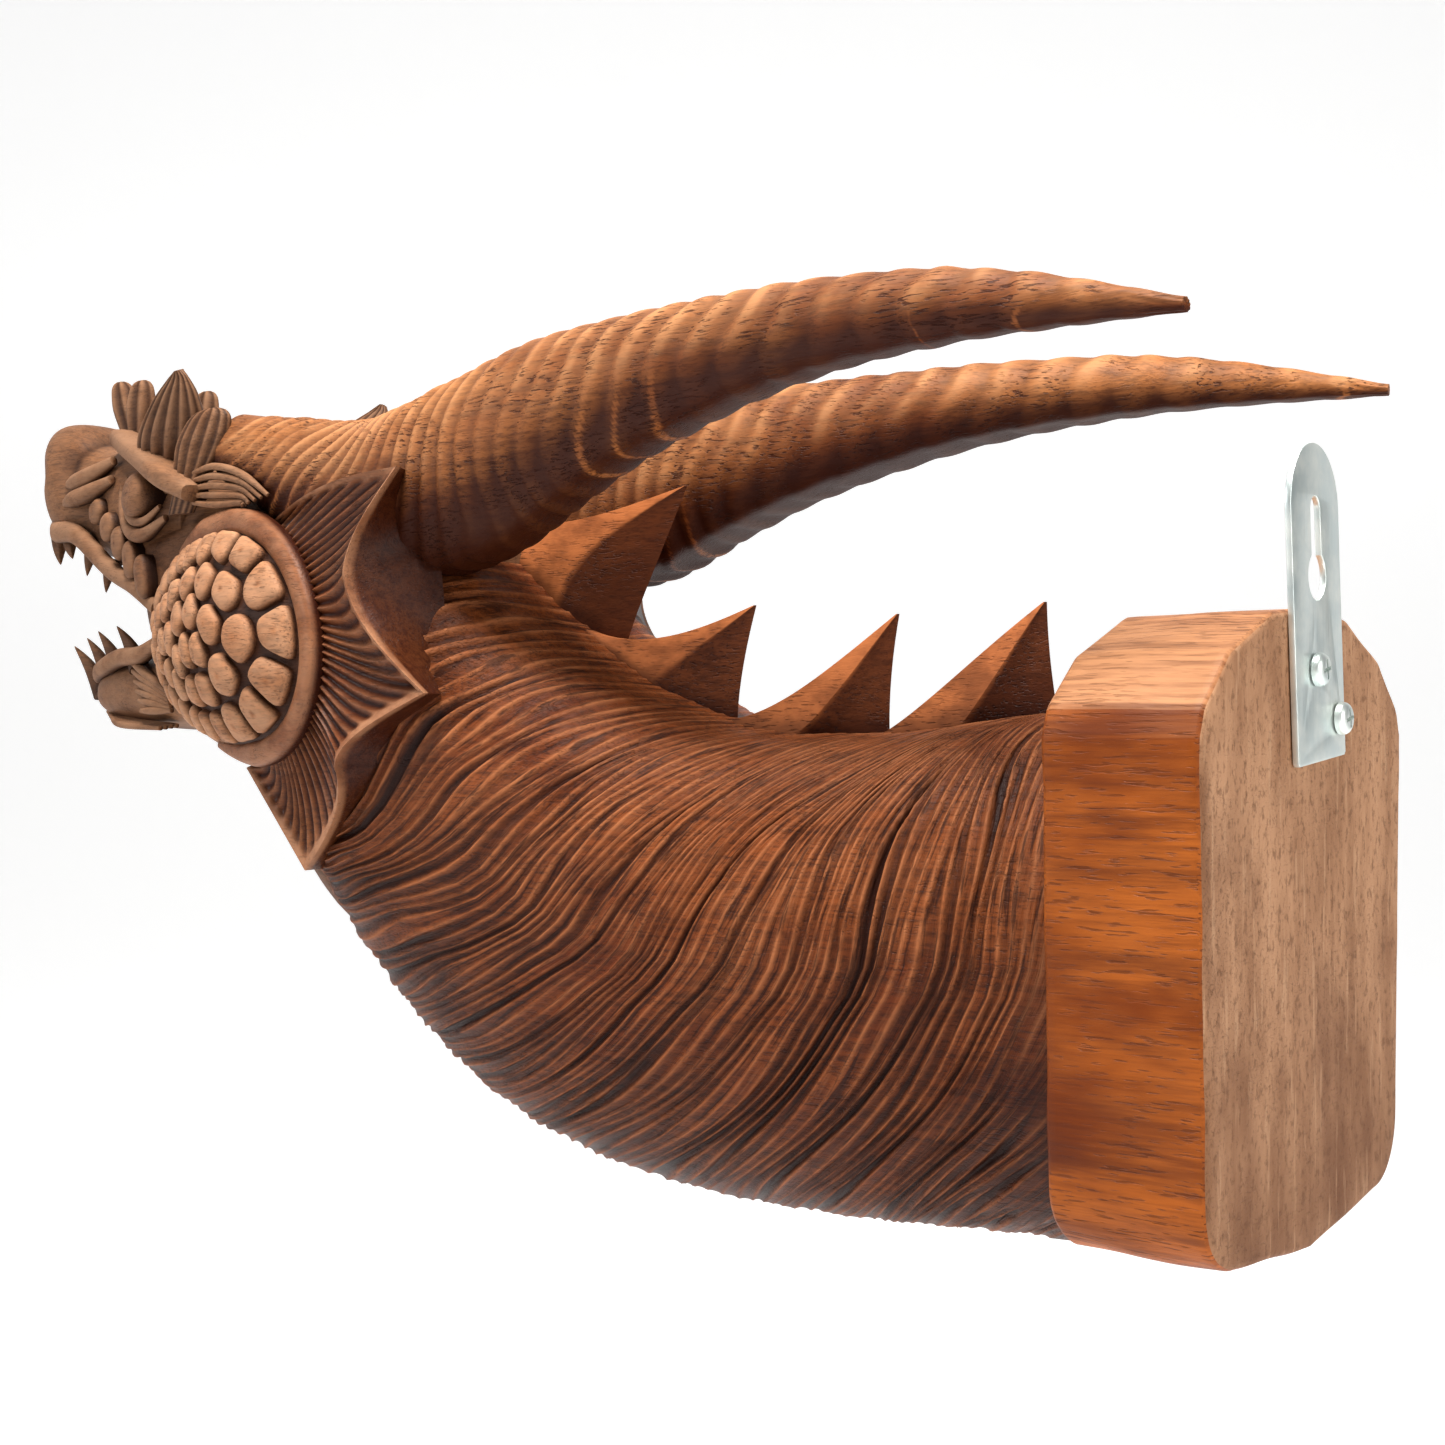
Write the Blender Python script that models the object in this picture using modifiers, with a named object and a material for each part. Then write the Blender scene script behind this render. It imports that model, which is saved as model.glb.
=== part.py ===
"""Dragon head wall carving: one block of carved hardwood with a keyhole hanger screwed to its back.

Frame: metres, +Z up, origin at the middle of the plaque's flat back, +Y into the wall.
The dragon looks along -Y and its left side is +X. Sizes below are in millimetres.
"""
import math

import bmesh
import bpy
import numpy as np
from mathutils import Matrix, Vector

MM = 0.001
NAME = "Dragon head wall carving"

# Plaque
PLAQUE_WIDTH = 126.0
PLAQUE_HEIGHT = 146.0
PLAQUE_DEPTH = 36.0
PLAQUE_TOP_CROWN = 1.5
PLAQUE_TOP_CHAMFER_WIDTH = 40.0
PLAQUE_TOP_CHAMFER_DROP = 26.0
PLAQUE_CHAMFER_BOW = (0.4, 0.42)
PLAQUE_SHOULDER_ROUND = 3.0
PLAQUE_FOOT_TAPER = 3.0
PLAQUE_FOOT_SAG = 5.0
PLAQUE_CORNER_RADIUS = 17.0
PLAQUE_EDGE_ROUND = 1.5
PLAQUE_EDGE_ANGLE = 60.0
PLAQUE_HALF = PLAQUE_WIDTH / 2

# Neck: at each distance from the wall, its top, bottom, how far its side lies in from the
# plaque's side, and the roundness of its top. The block is as wide as the plaque all the way, so
# the head and the horns are placed from the plaque's side too.
NECK_STATIONS = (
    (0.0, 48.0, -73.0, 6.0, 0.85),
    (60.0, 49.0, -76.0, 4.0, 0.85),
    (110.0, 44.0, -79.5, 3.0, 0.85),
    (160.0, 47.0, -79.5, 4.0, 0.82),
    (205.0, 68.0, -73.0, 6.0, 0.72),
    (245.0, 97.0, -56.0, 9.0, 0.56),
    (280.0, 104.0, -28.0, 13.0, 0.5),
    (315.0, 104.0, 13.0, 19.0, 0.5),
    (345.0, 102.0, 35.0, 25.0, 0.5),
)
NECK_REACH = 296.0
NECK_INSET = 12.0
LOCK_COUNT = 29
LOCK_DEPTH = 1.6
BELLY_ROUNDNESS = 0.78
NECK_COLUMNS = 9
LOCK_FADE_AT_SPINE = 2.5
LOCK_FADE_AT_BELLY = 4.0

# Locks of hair: a lock is named by its distance from the wall a third of the way round the neck,
# and the table says how far ahead of that it is at each of these turns, from spine to belly
LOCK_TURNS = (0.0, 0.15, 0.3, 0.4, 0.5, 0.6, 0.8, 1.0)
LOCK_PATHS = (
    (-60.0, 0.0, 0.0, 0.0, 1.0, 5.0, 21.0, 58.0, 85.0),
    (54.0, 2.0, 1.0, 0.0, 1.0, 5.0, 22.0, 61.0, 88.0),
    (90.0, -26.0, -13.0, 0.0, 5.0, 13.0, 37.0, 84.0, 112.0),
    (115.0, -38.0, -22.0, 0.0, 11.0, 26.0, 54.0, 101.0, 132.0),
    (150.0, -36.0, -19.0, 0.0, 12.0, 31.0, 64.0, 105.0, 130.0),
    (193.0, -28.0, -15.0, 0.0, 13.0, 37.0, 72.0, 106.0, 122.0),
    (250.0, -20.0, -12.0, 0.0, 10.0, 25.0, 42.0, 62.0, 70.0),
    (296.0, -15.0, -9.0, 0.0, 7.0, 15.0, 24.0, 34.0, 40.0),
)

# Back fins: distance of the base's rear and front from the wall, distance and height of the tip,
# and how late the front edge turns back towards the tip
FINS = (
    (64.0, 112.0, 67.0, 77.0, 0.85),
    (113.0, 164.0, 110.0, 75.5, 0.78),
    (163.0, 214.0, 156.5, 79.5, 1.6),
    (204.0, 246.0, 181.0, 114.5, 4.0),
)
FIN_THICKNESS = 17.0
FIN_ROOT = 0.35
FIN_HOLLOW = 3.0
FIN_TIP = 0.8
FIN_WIDTHS = ((-FIN_ROOT, 1.0), (0.0, 1.0), (0.4, 0.66), (0.75, 0.34), (1.0, 0.05))
FIN_EDGE = 0.75
FIN_CREASE = 0.48
FIN_HOOK = 1.2

# Horns: distance from the wall, how far in from the plaque's side, height, half width, half depth
HORN_STATIONS = (
    (338.0, 30.0, 134.5, 9.5, 12.0),
    (308.0, 29.0, 125.0, 14.0, 17.0),
    (268.0, 28.0, 113.0, 17.5, 25.0),
    (229.0, 26.5, 118.0, 18.0, 28.0),
    (199.0, 24.5, 128.0, 17.5, 25.0),
    (170.0, 22.0, 134.5, 16.0, 19.5),
    (134.0, 18.0, 139.5, 13.5, 14.5),
    (105.0, 14.5, 141.5, 11.5, 12.0),
    (70.0, 10.0, 141.0, 9.5, 9.5),
    (42.0, 6.0, 138.0, 6.5, 6.5),
    (3.0, 0.5, 131.5, 1.6, 1.4),
)
HORN_RINGS = 22
HORN_RING_HEIGHT = 0.9
HORN_RING_FADE = 10.0
HORN_SIDES = 9
HORN_FLAT = 0.82
RIGHT_HORN_DROP = 6.0

# Skull: distance from the wall, bottom, top, and how far in from the plaque's side
SKULL_STATIONS = (
    (240.0, 20.0, 100.0, 27.0),
    (262.0, -10.0, 114.0, 21.0),
    (290.0, -22.0, 120.0, 17.0),
    (318.0, 6.0, 126.0, 18.0),
    (345.0, 31.0, 130.0, 21.0),
    (372.0, 43.0, 134.0, 26.0),
    (388.0, 58.0, 138.0, 30.0),
)

# Snout and lower jaw: distance from the wall, bottom, top, half width
SNOUT_STATIONS = (
    (366.0, 84.0, 136.0, 35.0),
    (390.0, 88.0, 142.0, 33.0),
    (415.0, 98.0, 146.5, 27.5),
    (434.0, 105.0, 146.5, 23.5),
    (445.0, 108.0, 150.5, 22.5),
    (456.0, 110.0, 156.5, 22.0),
    (467.0, 114.0, 158.5, 19.5),
    (475.0, 123.0, 157.5, 14.5),
    (481.0, 133.0, 154.0, 9.0),
    (484.0, 140.0, 149.0, 4.0),
)
JAW_STATIONS = (
    (345.0, 42.0, 73.0, 37.0),
    (372.0, 44.0, 73.0, 34.0),
    (398.0, 44.5, 71.0, 29.5),
    (420.0, 46.0, 70.0, 24.5),
    (434.0, 49.0, 66.5, 19.5),
    (443.0, 52.5, 63.5, 12.5),
    (447.5, 56.0, 60.5, 5.5),
)
HEAD_SIDES = 18
HEAD_STEP = 12.0
SKULL_BOX = 0.8
JAW_BOX = 0.75

# Cheek: a shallow egg-shaped dome of pebble scales with a raised rim. Its place is how far in from
# the plaque's side its crown lies, its distance from the wall and its height.
CHEEK_PLACE = (3.0, 321.0, 73.5)
CHEEK_FRONT = 66.0
CHEEK_REAR = 45.5
CHEEK_HEIGHT = 72.0
CHEEK_BULGE = 13.0
CHEEK_TURN = 14.0
CHEEK_SLANT = 0.22
CHEEK_ROOT = 16.0
CHEEK_SIDES = 20
CHEEK_RINGS = ((1.0, CHEEK_ROOT), (1.0, 0.0), (0.8, 0.0), (0.45, 0.0))
RIM_RADIUS = 3.4
RIM_WIDENING = 1.25
RIM_START = 48.0
RIM_END = 292.0
RIM_STEPS = 18
RIM_TAPER = (0.35, 0.25)

# Scales of the cheek: how many, how wide at the rear and front, how far they stand out, the share
# of the dome they cover, the gap between two, and how much narrower the front ones are
SCALE_COUNT = 44
SCALE_REAR = 15.5
SCALE_FRONT = 9.0
SCALE_BULGE = 3.4
SCALE_FIELD = 0.92
SCALE_GAP = 1.6
SCALE_SQUEEZE = 1.3
SCALE_SIDES = 7
SCALE_BLUNTNESS = 6
SCALE_SETTLING = 40
SCALE_SAMPLES = 61
PEBBLE_RINGS = ((1.0, -1.0), (0.92, 0.5), (0.55, 0.9))

# Frill: its ridge, tips and hollows in turn, as distance from the wall, height, how far in from
# the plaque's side, and the distance from the wall of the back face's inner edge
FRILL_RIDGE = (
    (300.0, 108.0, 13.0, 290.0),
    (236.0, 118.0, 3.0, 250.0),
    (252.0, 90.0, -2.0, 236.0),
    (222.0, 55.0, 0.0, 234.0),
    (259.0, 34.0, 1.0, 242.0),
    (286.0, 3.0, 13.0, 290.0),
    (318.0, 33.0, 17.0, 312.0),
)
FRILL_RIBS = 21
FRILL_RIB_DEPTH = 1.3
FRILL_ROOT = 22.0
FRILL_INNER = 0.95
FRILL_INNER_RIBS = 0.3
FRILL_ARCH = 3
FRILL_START = 118.0
FRILL_END = 262.0

# Bars of the face: points as distance, side and height, then half width and half depth at each
FACE_BARS = (
    ("brow",
     ((421.0, 18.0, 147.5), (400.0, 26.5, 141.0), (380.0, 33.5, 134.0), (362.0, 40.0, 126.5),
      (346.0, 44.5, 120.0)),
     ((5.0, 3.2), (7.0, 3.8), (8.0, 4.2), (7.5, 4.0), (4.5, 2.8))),
    ("eyelid",
     ((409.0, 25.0, 135.0), (406.0, 28.0, 124.0), (397.0, 32.5, 113.0), (383.0, 37.0, 109.5),
      (367.0, 40.0, 114.0)),
     ((1.5, 1.5), (2.2, 2.2), (2.6, 2.4), (2.6, 2.4), (1.5, 1.5))),
    ("upper wrinkle",
     ((449.0, 21.5, 133.0), (441.0, 23.0, 133.2), (428.0, 25.5, 134.6), (414.0, 27.0, 138.0)),
     ((1.2, 1.6), (2.8, 3.0), (3.0, 3.0), (1.4, 1.6))),
    ("lower wrinkle",
     ((451.0, 21.5, 126.5), (442.0, 23.5, 127.0), (428.0, 26.0, 128.4), (413.0, 28.5, 131.2)),
     ((1.2, 1.6), (2.8, 3.0), (3.0, 3.0), (1.4, 1.6))),
    ("upper lip",
     ((474.0, 7.0, 121.0), (462.0, 17.0, 117.0), (440.0, 24.0, 114.0), (412.0, 29.5, 100.0),
      (392.0, 34.0, 93.0), (376.0, 37.0, 85.0)),
     ((3.0, 3.5), (3.4, 4.0), (3.0, 3.6), (3.0, 3.2), (3.0, 3.0), (2.5, 2.5))),
    ("lower lip",
     ((445.0, 7.0, 61.5), (438.0, 16.0, 64.5), (424.0, 22.5, 67.0), (410.0, 26.5, 69.5),
      (392.0, 31.5, 70.0), (376.0, 36.0, 74.0)),
     ((2.2, 2.5), (2.6, 3.0), (3.0, 3.2), (3.0, 3.2), (3.0, 3.0), (2.5, 2.5))),
)
BAR_SIDES = 6

# Eyeball: place, the way it faces, length, width and bulge
EYE_PLACE = (387.0, 33.0, 123.0)
EYE_FACING = (1.0, -0.35, 0.1)
EYE_SIZE = (21.0, 16.0, 7.5)
EYE_SIDES = 10

# Row of rounded scales over the upper lip, from the nose to the mouth's corner: the first and the
# last one's place, with their height, length and bulge, and the ways that they face and stand
LIP_BEADS = 5
LIP_BEAD_FIRST = (423.0, 26.0, 121.0)
LIP_BEAD_LAST = (382.0, 37.0, 95.5)
LIP_BEAD_FIRST_SIZE = (8.5, 11.0, 3.2)
LIP_BEAD_LAST_SIZE = (16.0, 8.0, 3.2)
LIP_BEAD_FACING = (1.0, -0.25, 0.0)
LIP_BEAD_STANDING = (0.0, -0.35, 1.0)

# Teeth: root, tip and root radius
TEETH = (
    ((466.0, 13.0, 118.0), (461.5, 16.5, 105.0), 4.6),
    ((457.0, 15.0, 117.0), (451.0, 18.5, 106.5), 4.2),
    ((436.0, 19.0, 112.0), (438.5, 21.0, 99.5), 4.0),
    ((417.0, 24.5, 104.0), (420.0, 26.0, 92.5), 3.8),
    ((442.0, 12.0, 58.0), (458.0, 13.0, 75.0), 4.2),
    ((432.0, 16.0, 62.0), (445.0, 16.5, 77.5), 4.0),
    ((420.0, 20.0, 64.0), (432.5, 20.5, 79.5), 4.0),
    ((401.0, 26.0, 66.0), (413.0, 26.5, 80.5), 4.0),
)
TOOTH_SIDES = 6
TOOTH_TIP = 0.25

# Crest leaves: root, tip, width, thickness, forward sweep and outline; an outline gives the
# width on the way from root to tip, as shares
FAN_LEAF = ((-0.3, 0.5), (0.0, 0.6), (0.55, 1.0), (0.85, 0.8), (1.0, 0.35))
FLAME_LEAF = ((-0.3, 0.8), (0.0, 0.9), (0.35, 1.0), (0.7, 0.62), (1.0, 0.06))
CREST_LEAVES = (
    ((427.0, 9.0, 146.0), (434.0, 10.0, 170.0), 14.0, 7.0, 0.0, FAN_LEAF),
    ((419.0, 13.0, 144.0), (416.0, 14.0, 168.0), 15.0, 7.0, 0.0, FAN_LEAF),
    ((374.0, 33.0, 133.0), (355.0, 44.0, 160.5), 33.0, 11.0, 4.0, FLAME_LEAF),
    ((354.0, 41.0, 122.0), (341.0, 41.5, 147.0), 24.0, 8.0, 0.0, FAN_LEAF),
)
LEAF_FLAT = 0.35
LEAF_LEAST_THICKNESS = 0.3

# Hanger plate, its keyhole and its screws; the screws' places run across and down from its top
HANGER_LENGTH = 72.0
HANGER_WIDTH = 30.0
HANGER_THICKNESS = 1.5
HANGER_TOP = 110.0
HANGER_SIDE = 4.2
HANGER_LEAN = 5.0
KEYHOLE_DIAMETER = 11.0
KEYHOLE_SLOT = 6.0
KEYHOLE_DROP = 30.0
KEYHOLE_RISE = 15.0
SCREW_SHANK = 3.6
SCREW_LENGTH = 14.0
SCREW_POINT = 4.0
SCREW_HEAD = 7.6
SCREW_HEAD_HEIGHT = 2.6
SCREW_HEAD_PROFILE = ((0.55, 1.0), (0.9, 0.72), (1.0, 0.35))
SCREW_CROSS = 0.9
SCREW_CROSS_REACH = 4.6
SCREW_CROSS_DEPTH = 1.2
SCREW_PLACES = (("upper", 3.2, 51.0), ("lower", -10.6, 63.2))
SCREW_SIDES = 14
HANGER_STEPS = (16, 14, 8)
FULL_TURN = 360.0
CLEARANCE = 0.3

# How the joined mesh is tidied
HEAD_TRIANGLES = 5050
FLAT_ANGLE = math.radians(1.0)
MERGE_DISTANCE = 0.005
CURVE_MERGE_DISTANCE = 0.01

# Finishes: colour, roughness, metallic
WOOD = ((0.2, 0.07, 0.026, 1.0), 0.55, 0.0)
ZINC = ((0.72, 0.75, 0.74, 1.0), 0.35, 0.9)


def clear_scene():
    """Removes what the scene holds, so that a second run starts from nothing."""
    for old in list(bpy.data.objects):
        bpy.data.objects.remove(old, do_unlink=True)


def make_collection(name):
    """A collection under the scene's own."""
    made = bpy.data.collections.new(name)
    bpy.context.scene.collection.children.link(made)
    return made


def make_material(name, colour, rough, metal):
    """A plain finish for one sub-part."""
    made = bpy.data.materials.new(name)
    made.use_nodes = True
    shader = made.node_tree.nodes["Principled BSDF"]
    shader.inputs["Base Color"].default_value = colour
    shader.inputs["Roughness"].default_value = rough
    shader.inputs["Metallic"].default_value = metal
    return made


def place(distance, side, height):
    """A point from its distance off the wall, its sideways place and its height, all in mm."""
    return Vector((side * MM, -distance * MM, height * MM))


def smooth_between(stations, value):
    """Reads a short table of stations at a value, with no kink at the stations."""
    if value <= stations[0][0]:
        return stations[0][1:]
    if value >= stations[-1][0]:
        return stations[-1][1:]
    last = len(stations) - 1
    k = max(i for i in range(last) if stations[i][0] <= value)
    before = stations[max(k - 1, 0)]
    here = stations[k]
    after = stations[k + 1]
    beyond = stations[min(k + 2, last)]
    span = after[0] - here[0]
    t = (value - here[0]) / span
    result = []
    for column in range(1, len(here)):
        slope_in = (after[column] - before[column]) / (after[0] - before[0]) * span
        slope_out = (beyond[column] - here[column]) / (beyond[0] - here[0]) * span
        result.append(
            here[column] * (2 * t**3 - 3 * t**2 + 1)
            + slope_in * (t**3 - 2 * t**2 + t)
            + after[column] * (3 * t**2 - 2 * t**3)
            + slope_out * (t**3 - t**2)
        )
    return tuple(result)


def mesh_object(name, bm, where):
    """Turns a bmesh into an object in a collection, with its faces out."""
    bmesh.ops.recalc_face_normals(bm, faces=bm.faces)
    mesh = bpy.data.meshes.new(name)
    bm.to_mesh(mesh)
    bm.free()
    made = bpy.data.objects.new(name, mesh)
    where.objects.link(made)
    return made


def loft(name, rings, where):
    """Skins a row of rings of points, all with as many points, and closes both ends."""
    bm = bmesh.new()
    rows = [[bm.verts.new(point) for point in ring] for ring in rings]
    count = len(rings[0])
    for first, second in zip(rows, rows[1:]):
        for k in range(count):
            n = (k + 1) % count
            bm.faces.new((first[k], first[n], second[n], second[k]))
    for ring in (rows[0], rows[-1]):
        middle = sum((v.co for v in ring), Vector()) / count
        centre = bm.verts.new(middle)
        for k in range(count):
            bm.faces.new((ring[k], ring[(k + 1) % count], centre))
    bmesh.ops.triangulate(bm, faces=bm.faces)
    return mesh_object(name, bm, where)


def rounded(angle, power):
    """Sine and cosine drawn out towards a box as the power falls below one."""
    s = math.sin(angle)
    c = math.cos(angle)
    wide = math.copysign(abs(s) ** power, s)
    high = math.copysign(abs(c) ** power, c)
    return wide, high


def section_rings(stations, sides, power, step):
    """Upright rounded sections along a form whose stations give bottom, top and half width."""
    start = stations[0][0]
    end = stations[-1][0]
    count = max(int(round((end - start) / step)), 2)
    rings = []
    for i in range(count + 1):
        distance = start + (end - start) * i / count
        low, high, half = smooth_between(stations, distance)
        ring = []
        for k in range(sides):
            wide, up = rounded(2 * math.pi * k / sides, power)
            height = (low + high) / 2 + up * (high - low) / 2
            ring.append(place(distance, half * wide, height))
        rings.append(ring)
    return rings


def tube_rings(path, radii, sides, flat=1.0):
    """Rings square to a path of points, each with a sideways and an upward radius in metres."""
    rings = []
    for i, point in enumerate(path):
        ahead = path[min(i + 1, len(path) - 1)] - path[max(i - 1, 0)]
        side = ahead.cross(Vector((0, 0, 1))).normalized()
        up = side.cross(ahead).normalized()
        ring = []
        for k in range(sides):
            angle = 2 * math.pi * (k + 0.5) / sides
            rise = max(math.cos(angle), -flat)
            ring.append(point + side * radii[i][0] * math.sin(angle) + up * radii[i][1] * rise)
        rings.append(ring)
    return rings


def neck_point(distance, turn, swell):
    """A point of the neck at a distance from the wall; turn runs from 0 on the spine to 1 below."""
    top, bottom, inset, crown = smooth_between(NECK_STATIONS, distance)
    half = PLAQUE_HALF - inset
    wide, up = rounded(math.pi * turn, crown if abs(turn) < 0.5 else BELLY_ROUNDNESS)
    middle = (top + bottom) / 2
    reach = (top - bottom) / 2
    lift = 1 + swell / half
    return place(distance, half * wide * lift, middle + up * reach * lift)


def lock_distance(start, turn):
    """How far from the wall a lock of hair is, at a turn round the neck."""
    path = tuple(zip(LOCK_TURNS, smooth_between(LOCK_PATHS, start)))
    return start + smooth_between(path, abs(turn))[0]


def make_neck(where):
    """The neck with its locks of hair, each a ridge that runs from the spine forward and down."""
    rows = 2 * LOCK_COUNT
    first = LOCK_PATHS[0][0]
    rings = []
    for i in range(rows + 1):
        start = first + (NECK_REACH - first) * i / rows
        swell = LOCK_DEPTH / 2 if i % 2 else -LOCK_DEPTH / 2
        ring = []
        for k in range(2 * NECK_COLUMNS):
            turn = (k - NECK_COLUMNS) / NECK_COLUMNS
            fade = min(1.0, LOCK_FADE_AT_SPINE * abs(turn), LOCK_FADE_AT_BELLY * (1.1 - abs(turn)))
            ring.append(neck_point(lock_distance(start, turn), turn, swell * fade))
        rings.append(ring)
    neck = loft("neck", rings, where)
    bm = bmesh.new()
    bm.from_mesh(neck.data)
    everything = bm.verts[:] + bm.edges[:] + bm.faces[:]
    bmesh.ops.bisect_plane(
        bm, geom=everything, plane_co=place(NECK_INSET, 0, 0), plane_no=(0, 1, 0), clear_outer=True
    )
    rim = [edge for edge in bm.edges if edge.is_boundary]
    bmesh.ops.holes_fill(bm, edges=rim, sides=0)
    bmesh.ops.triangulate(bm, faces=bm.faces)
    bmesh.ops.recalc_face_normals(bm, faces=bm.faces)
    bm.to_mesh(neck.data)
    bm.free()
    return neck


def plaque_outline():
    """The plaque's outline: chamfered shoulders, upright sides and round lower corners."""
    top = PLAQUE_HEIGHT / 2
    radius = PLAQUE_CORNER_RADIUS
    right = [(PLAQUE_HALF - PLAQUE_TOP_CHAMFER_WIDTH, top - PLAQUE_TOP_CROWN)]
    shoulder = top - PLAQUE_TOP_CHAMFER_DROP
    right.append((PLAQUE_HALF - PLAQUE_TOP_CHAMFER_WIDTH * PLAQUE_CHAMFER_BOW[0],
                  top - PLAQUE_TOP_CHAMFER_DROP * PLAQUE_CHAMFER_BOW[1]))
    right.append((PLAQUE_HALF - PLAQUE_SHOULDER_ROUND, shoulder + PLAQUE_SHOULDER_ROUND))
    right.append((PLAQUE_HALF, shoulder - PLAQUE_SHOULDER_ROUND))
    corner = (PLAQUE_HALF - PLAQUE_FOOT_TAPER - radius, -top + PLAQUE_FOOT_SAG + radius)
    for k in range(5):
        angle = -math.radians(22.5 * k)
        right.append((corner[0] + radius * math.cos(angle), corner[1] + radius * math.sin(angle)))
    left = [(-x, z) for x, z in reversed(right)]
    return [(0.0, top)] + right + [(0.0, -top)] + left


def make_plaque(where):
    """The thick plaque: a flat outline drawn out to its depth, with its edges eased."""
    curve = bpy.data.curves.new("plaque outline", "CURVE")
    curve.dimensions = "2D"
    curve.fill_mode = "BOTH"
    curve.extrude = PLAQUE_DEPTH / 2 * MM
    outline = curve.splines.new("POLY")
    points = plaque_outline()
    outline.points.add(len(points) - 1)
    for spot, (x, z) in zip(outline.points, points):
        spot.co = (x * MM, z * MM, 0, 1)
    outline.use_cyclic_u = True
    drawn = bpy.data.objects.new("plaque outline", curve)
    where.objects.link(drawn)
    drawn.rotation_euler = (math.pi / 2, 0, 0)
    drawn.location = place(PLAQUE_DEPTH / 2, 0, 0)
    plaque = curve_to_mesh(drawn, "plaque", where)
    ease = plaque.modifiers.new("eased edges", "BEVEL")
    ease.width = PLAQUE_EDGE_ROUND * MM
    ease.segments = 1
    ease.limit_method = "ANGLE"
    ease.angle_limit = math.radians(PLAQUE_EDGE_ANGLE)
    return plaque


def curve_to_mesh(drawn, name, where):
    """A closed mesh made of a curve object, whose place it takes."""
    bpy.context.view_layer.update()
    graph = bpy.context.evaluated_depsgraph_get()
    mesh = bpy.data.meshes.new_from_object(drawn.evaluated_get(graph))
    bm = bmesh.new()
    bm.from_mesh(mesh)
    bmesh.ops.remove_doubles(bm, verts=bm.verts, dist=CURVE_MERGE_DISTANCE * MM)
    bm.transform(drawn.matrix_world)
    bmesh.ops.recalc_face_normals(bm, faces=bm.faces)
    bm.to_mesh(mesh)
    bm.free()
    made = bpy.data.objects.new(name, mesh)
    where.objects.link(made)
    bpy.data.objects.remove(drawn, do_unlink=True)
    return made


def make_fin(where, index, rear, front, tip, height, lag):
    """One fin of the spine: a wedge with a broad front face and flat sides, hooked to the rear."""
    half = FIN_THICKNESS / 2
    rings = []
    for share, width in FIN_WIDTHS:
        rise = max(share, 0.0)
        back = rear + (tip - rear) * rise**FIN_HOOK + FIN_HOLLOW * share * (1 - share)
        fore = front + (tip + FIN_TIP - front) * rise**lag
        middle = back + (fore - back) * FIN_CREASE
        wide = half * width
        ring = []
        for distance, across in (
            (back, 0.0),
            (middle, wide),
            (fore, wide * FIN_EDGE),
            (fore, -wide * FIN_EDGE),
            (middle, -wide),
        ):
            base = smooth_between(NECK_STATIONS, distance)[0]
            ring.append(place(distance, across, base + (height - base) * share))
        rings.append(ring)
    return loft(f"fin {index}", rings, where)


def make_horn(where, side):
    """One horn, with raised rings that fade towards the tip and a flatter underside."""
    rows = 2 * HORN_RINGS
    first = HORN_STATIONS[0][0]
    last = HORN_STATIONS[-1][0]
    table = tuple(sorted(HORN_STATIONS))
    path = []
    radii = []
    for i in range(rows + 1):
        distance = first + (last - first) * i / rows
        inset, height, wide, deep = smooth_between(table, distance)
        ring = HORN_RING_HEIGHT / 2 if i % 2 else -HORN_RING_HEIGHT / 2
        ring *= min(1.0, wide / HORN_RING_FADE)
        if side < 0:
            height -= RIGHT_HORN_DROP * math.sin(math.pi * i / rows)
        path.append(place(distance, (PLAQUE_HALF - inset) * side, height))
        radii.append(((wide + ring) * MM, (deep + ring) * MM))
    return loft("horn", tube_rings(path, radii, HORN_SIDES, HORN_FLAT), where)


def cheek_frame(side):
    """The cheek's own axes: out of the face, forward along it, and up."""
    turn = math.radians(CHEEK_TURN)
    out = Vector((side * math.cos(turn), -math.sin(turn), 0))
    forward = Vector((-side * math.sin(turn), -math.cos(turn), 0))
    return out, forward, Vector((0, 0, 1))


def cheek_point(side, along, up):
    """A point on the cheek's dome, from shares of its length and its half height."""
    out, forward, rise = cheek_frame(side)
    inset, distance, height = CHEEK_PLACE
    crown = place(distance, (PLAQUE_HALF - inset) * side, height)
    fall = CHEEK_BULGE * (along**2 + up**2)
    ahead = along * (CHEEK_FRONT if along > 0 else CHEEK_REAR)
    ahead += up * CHEEK_SLANT * CHEEK_HEIGHT / 2
    return crown + (forward * ahead + rise * up * CHEEK_HEIGHT / 2 - out * fall) * MM


def cheek_normal(side, along, up):
    """The way the dome faces at that point."""
    step = 0.02
    ahead = cheek_point(side, along + step, up) - cheek_point(side, along - step, up)
    above = cheek_point(side, along, up + step) - cheek_point(side, along, up - step)
    normal = ahead.cross(above).normalized()
    return normal if normal.dot(cheek_frame(side)[0]) > 0 else -normal


def make_cheek(where, side):
    """The smooth dome that the scales lie on."""
    out = cheek_frame(side)[0]
    rings = []
    for share, depth in CHEEK_RINGS:
        ring = []
        for k in range(CHEEK_SIDES):
            angle = 2 * math.pi * k / CHEEK_SIDES
            point = cheek_point(side, share * math.cos(angle), share * math.sin(angle))
            ring.append(point - out * depth * MM)
        rings.append(ring)
    return loft("cheek", rings, where)


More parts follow.
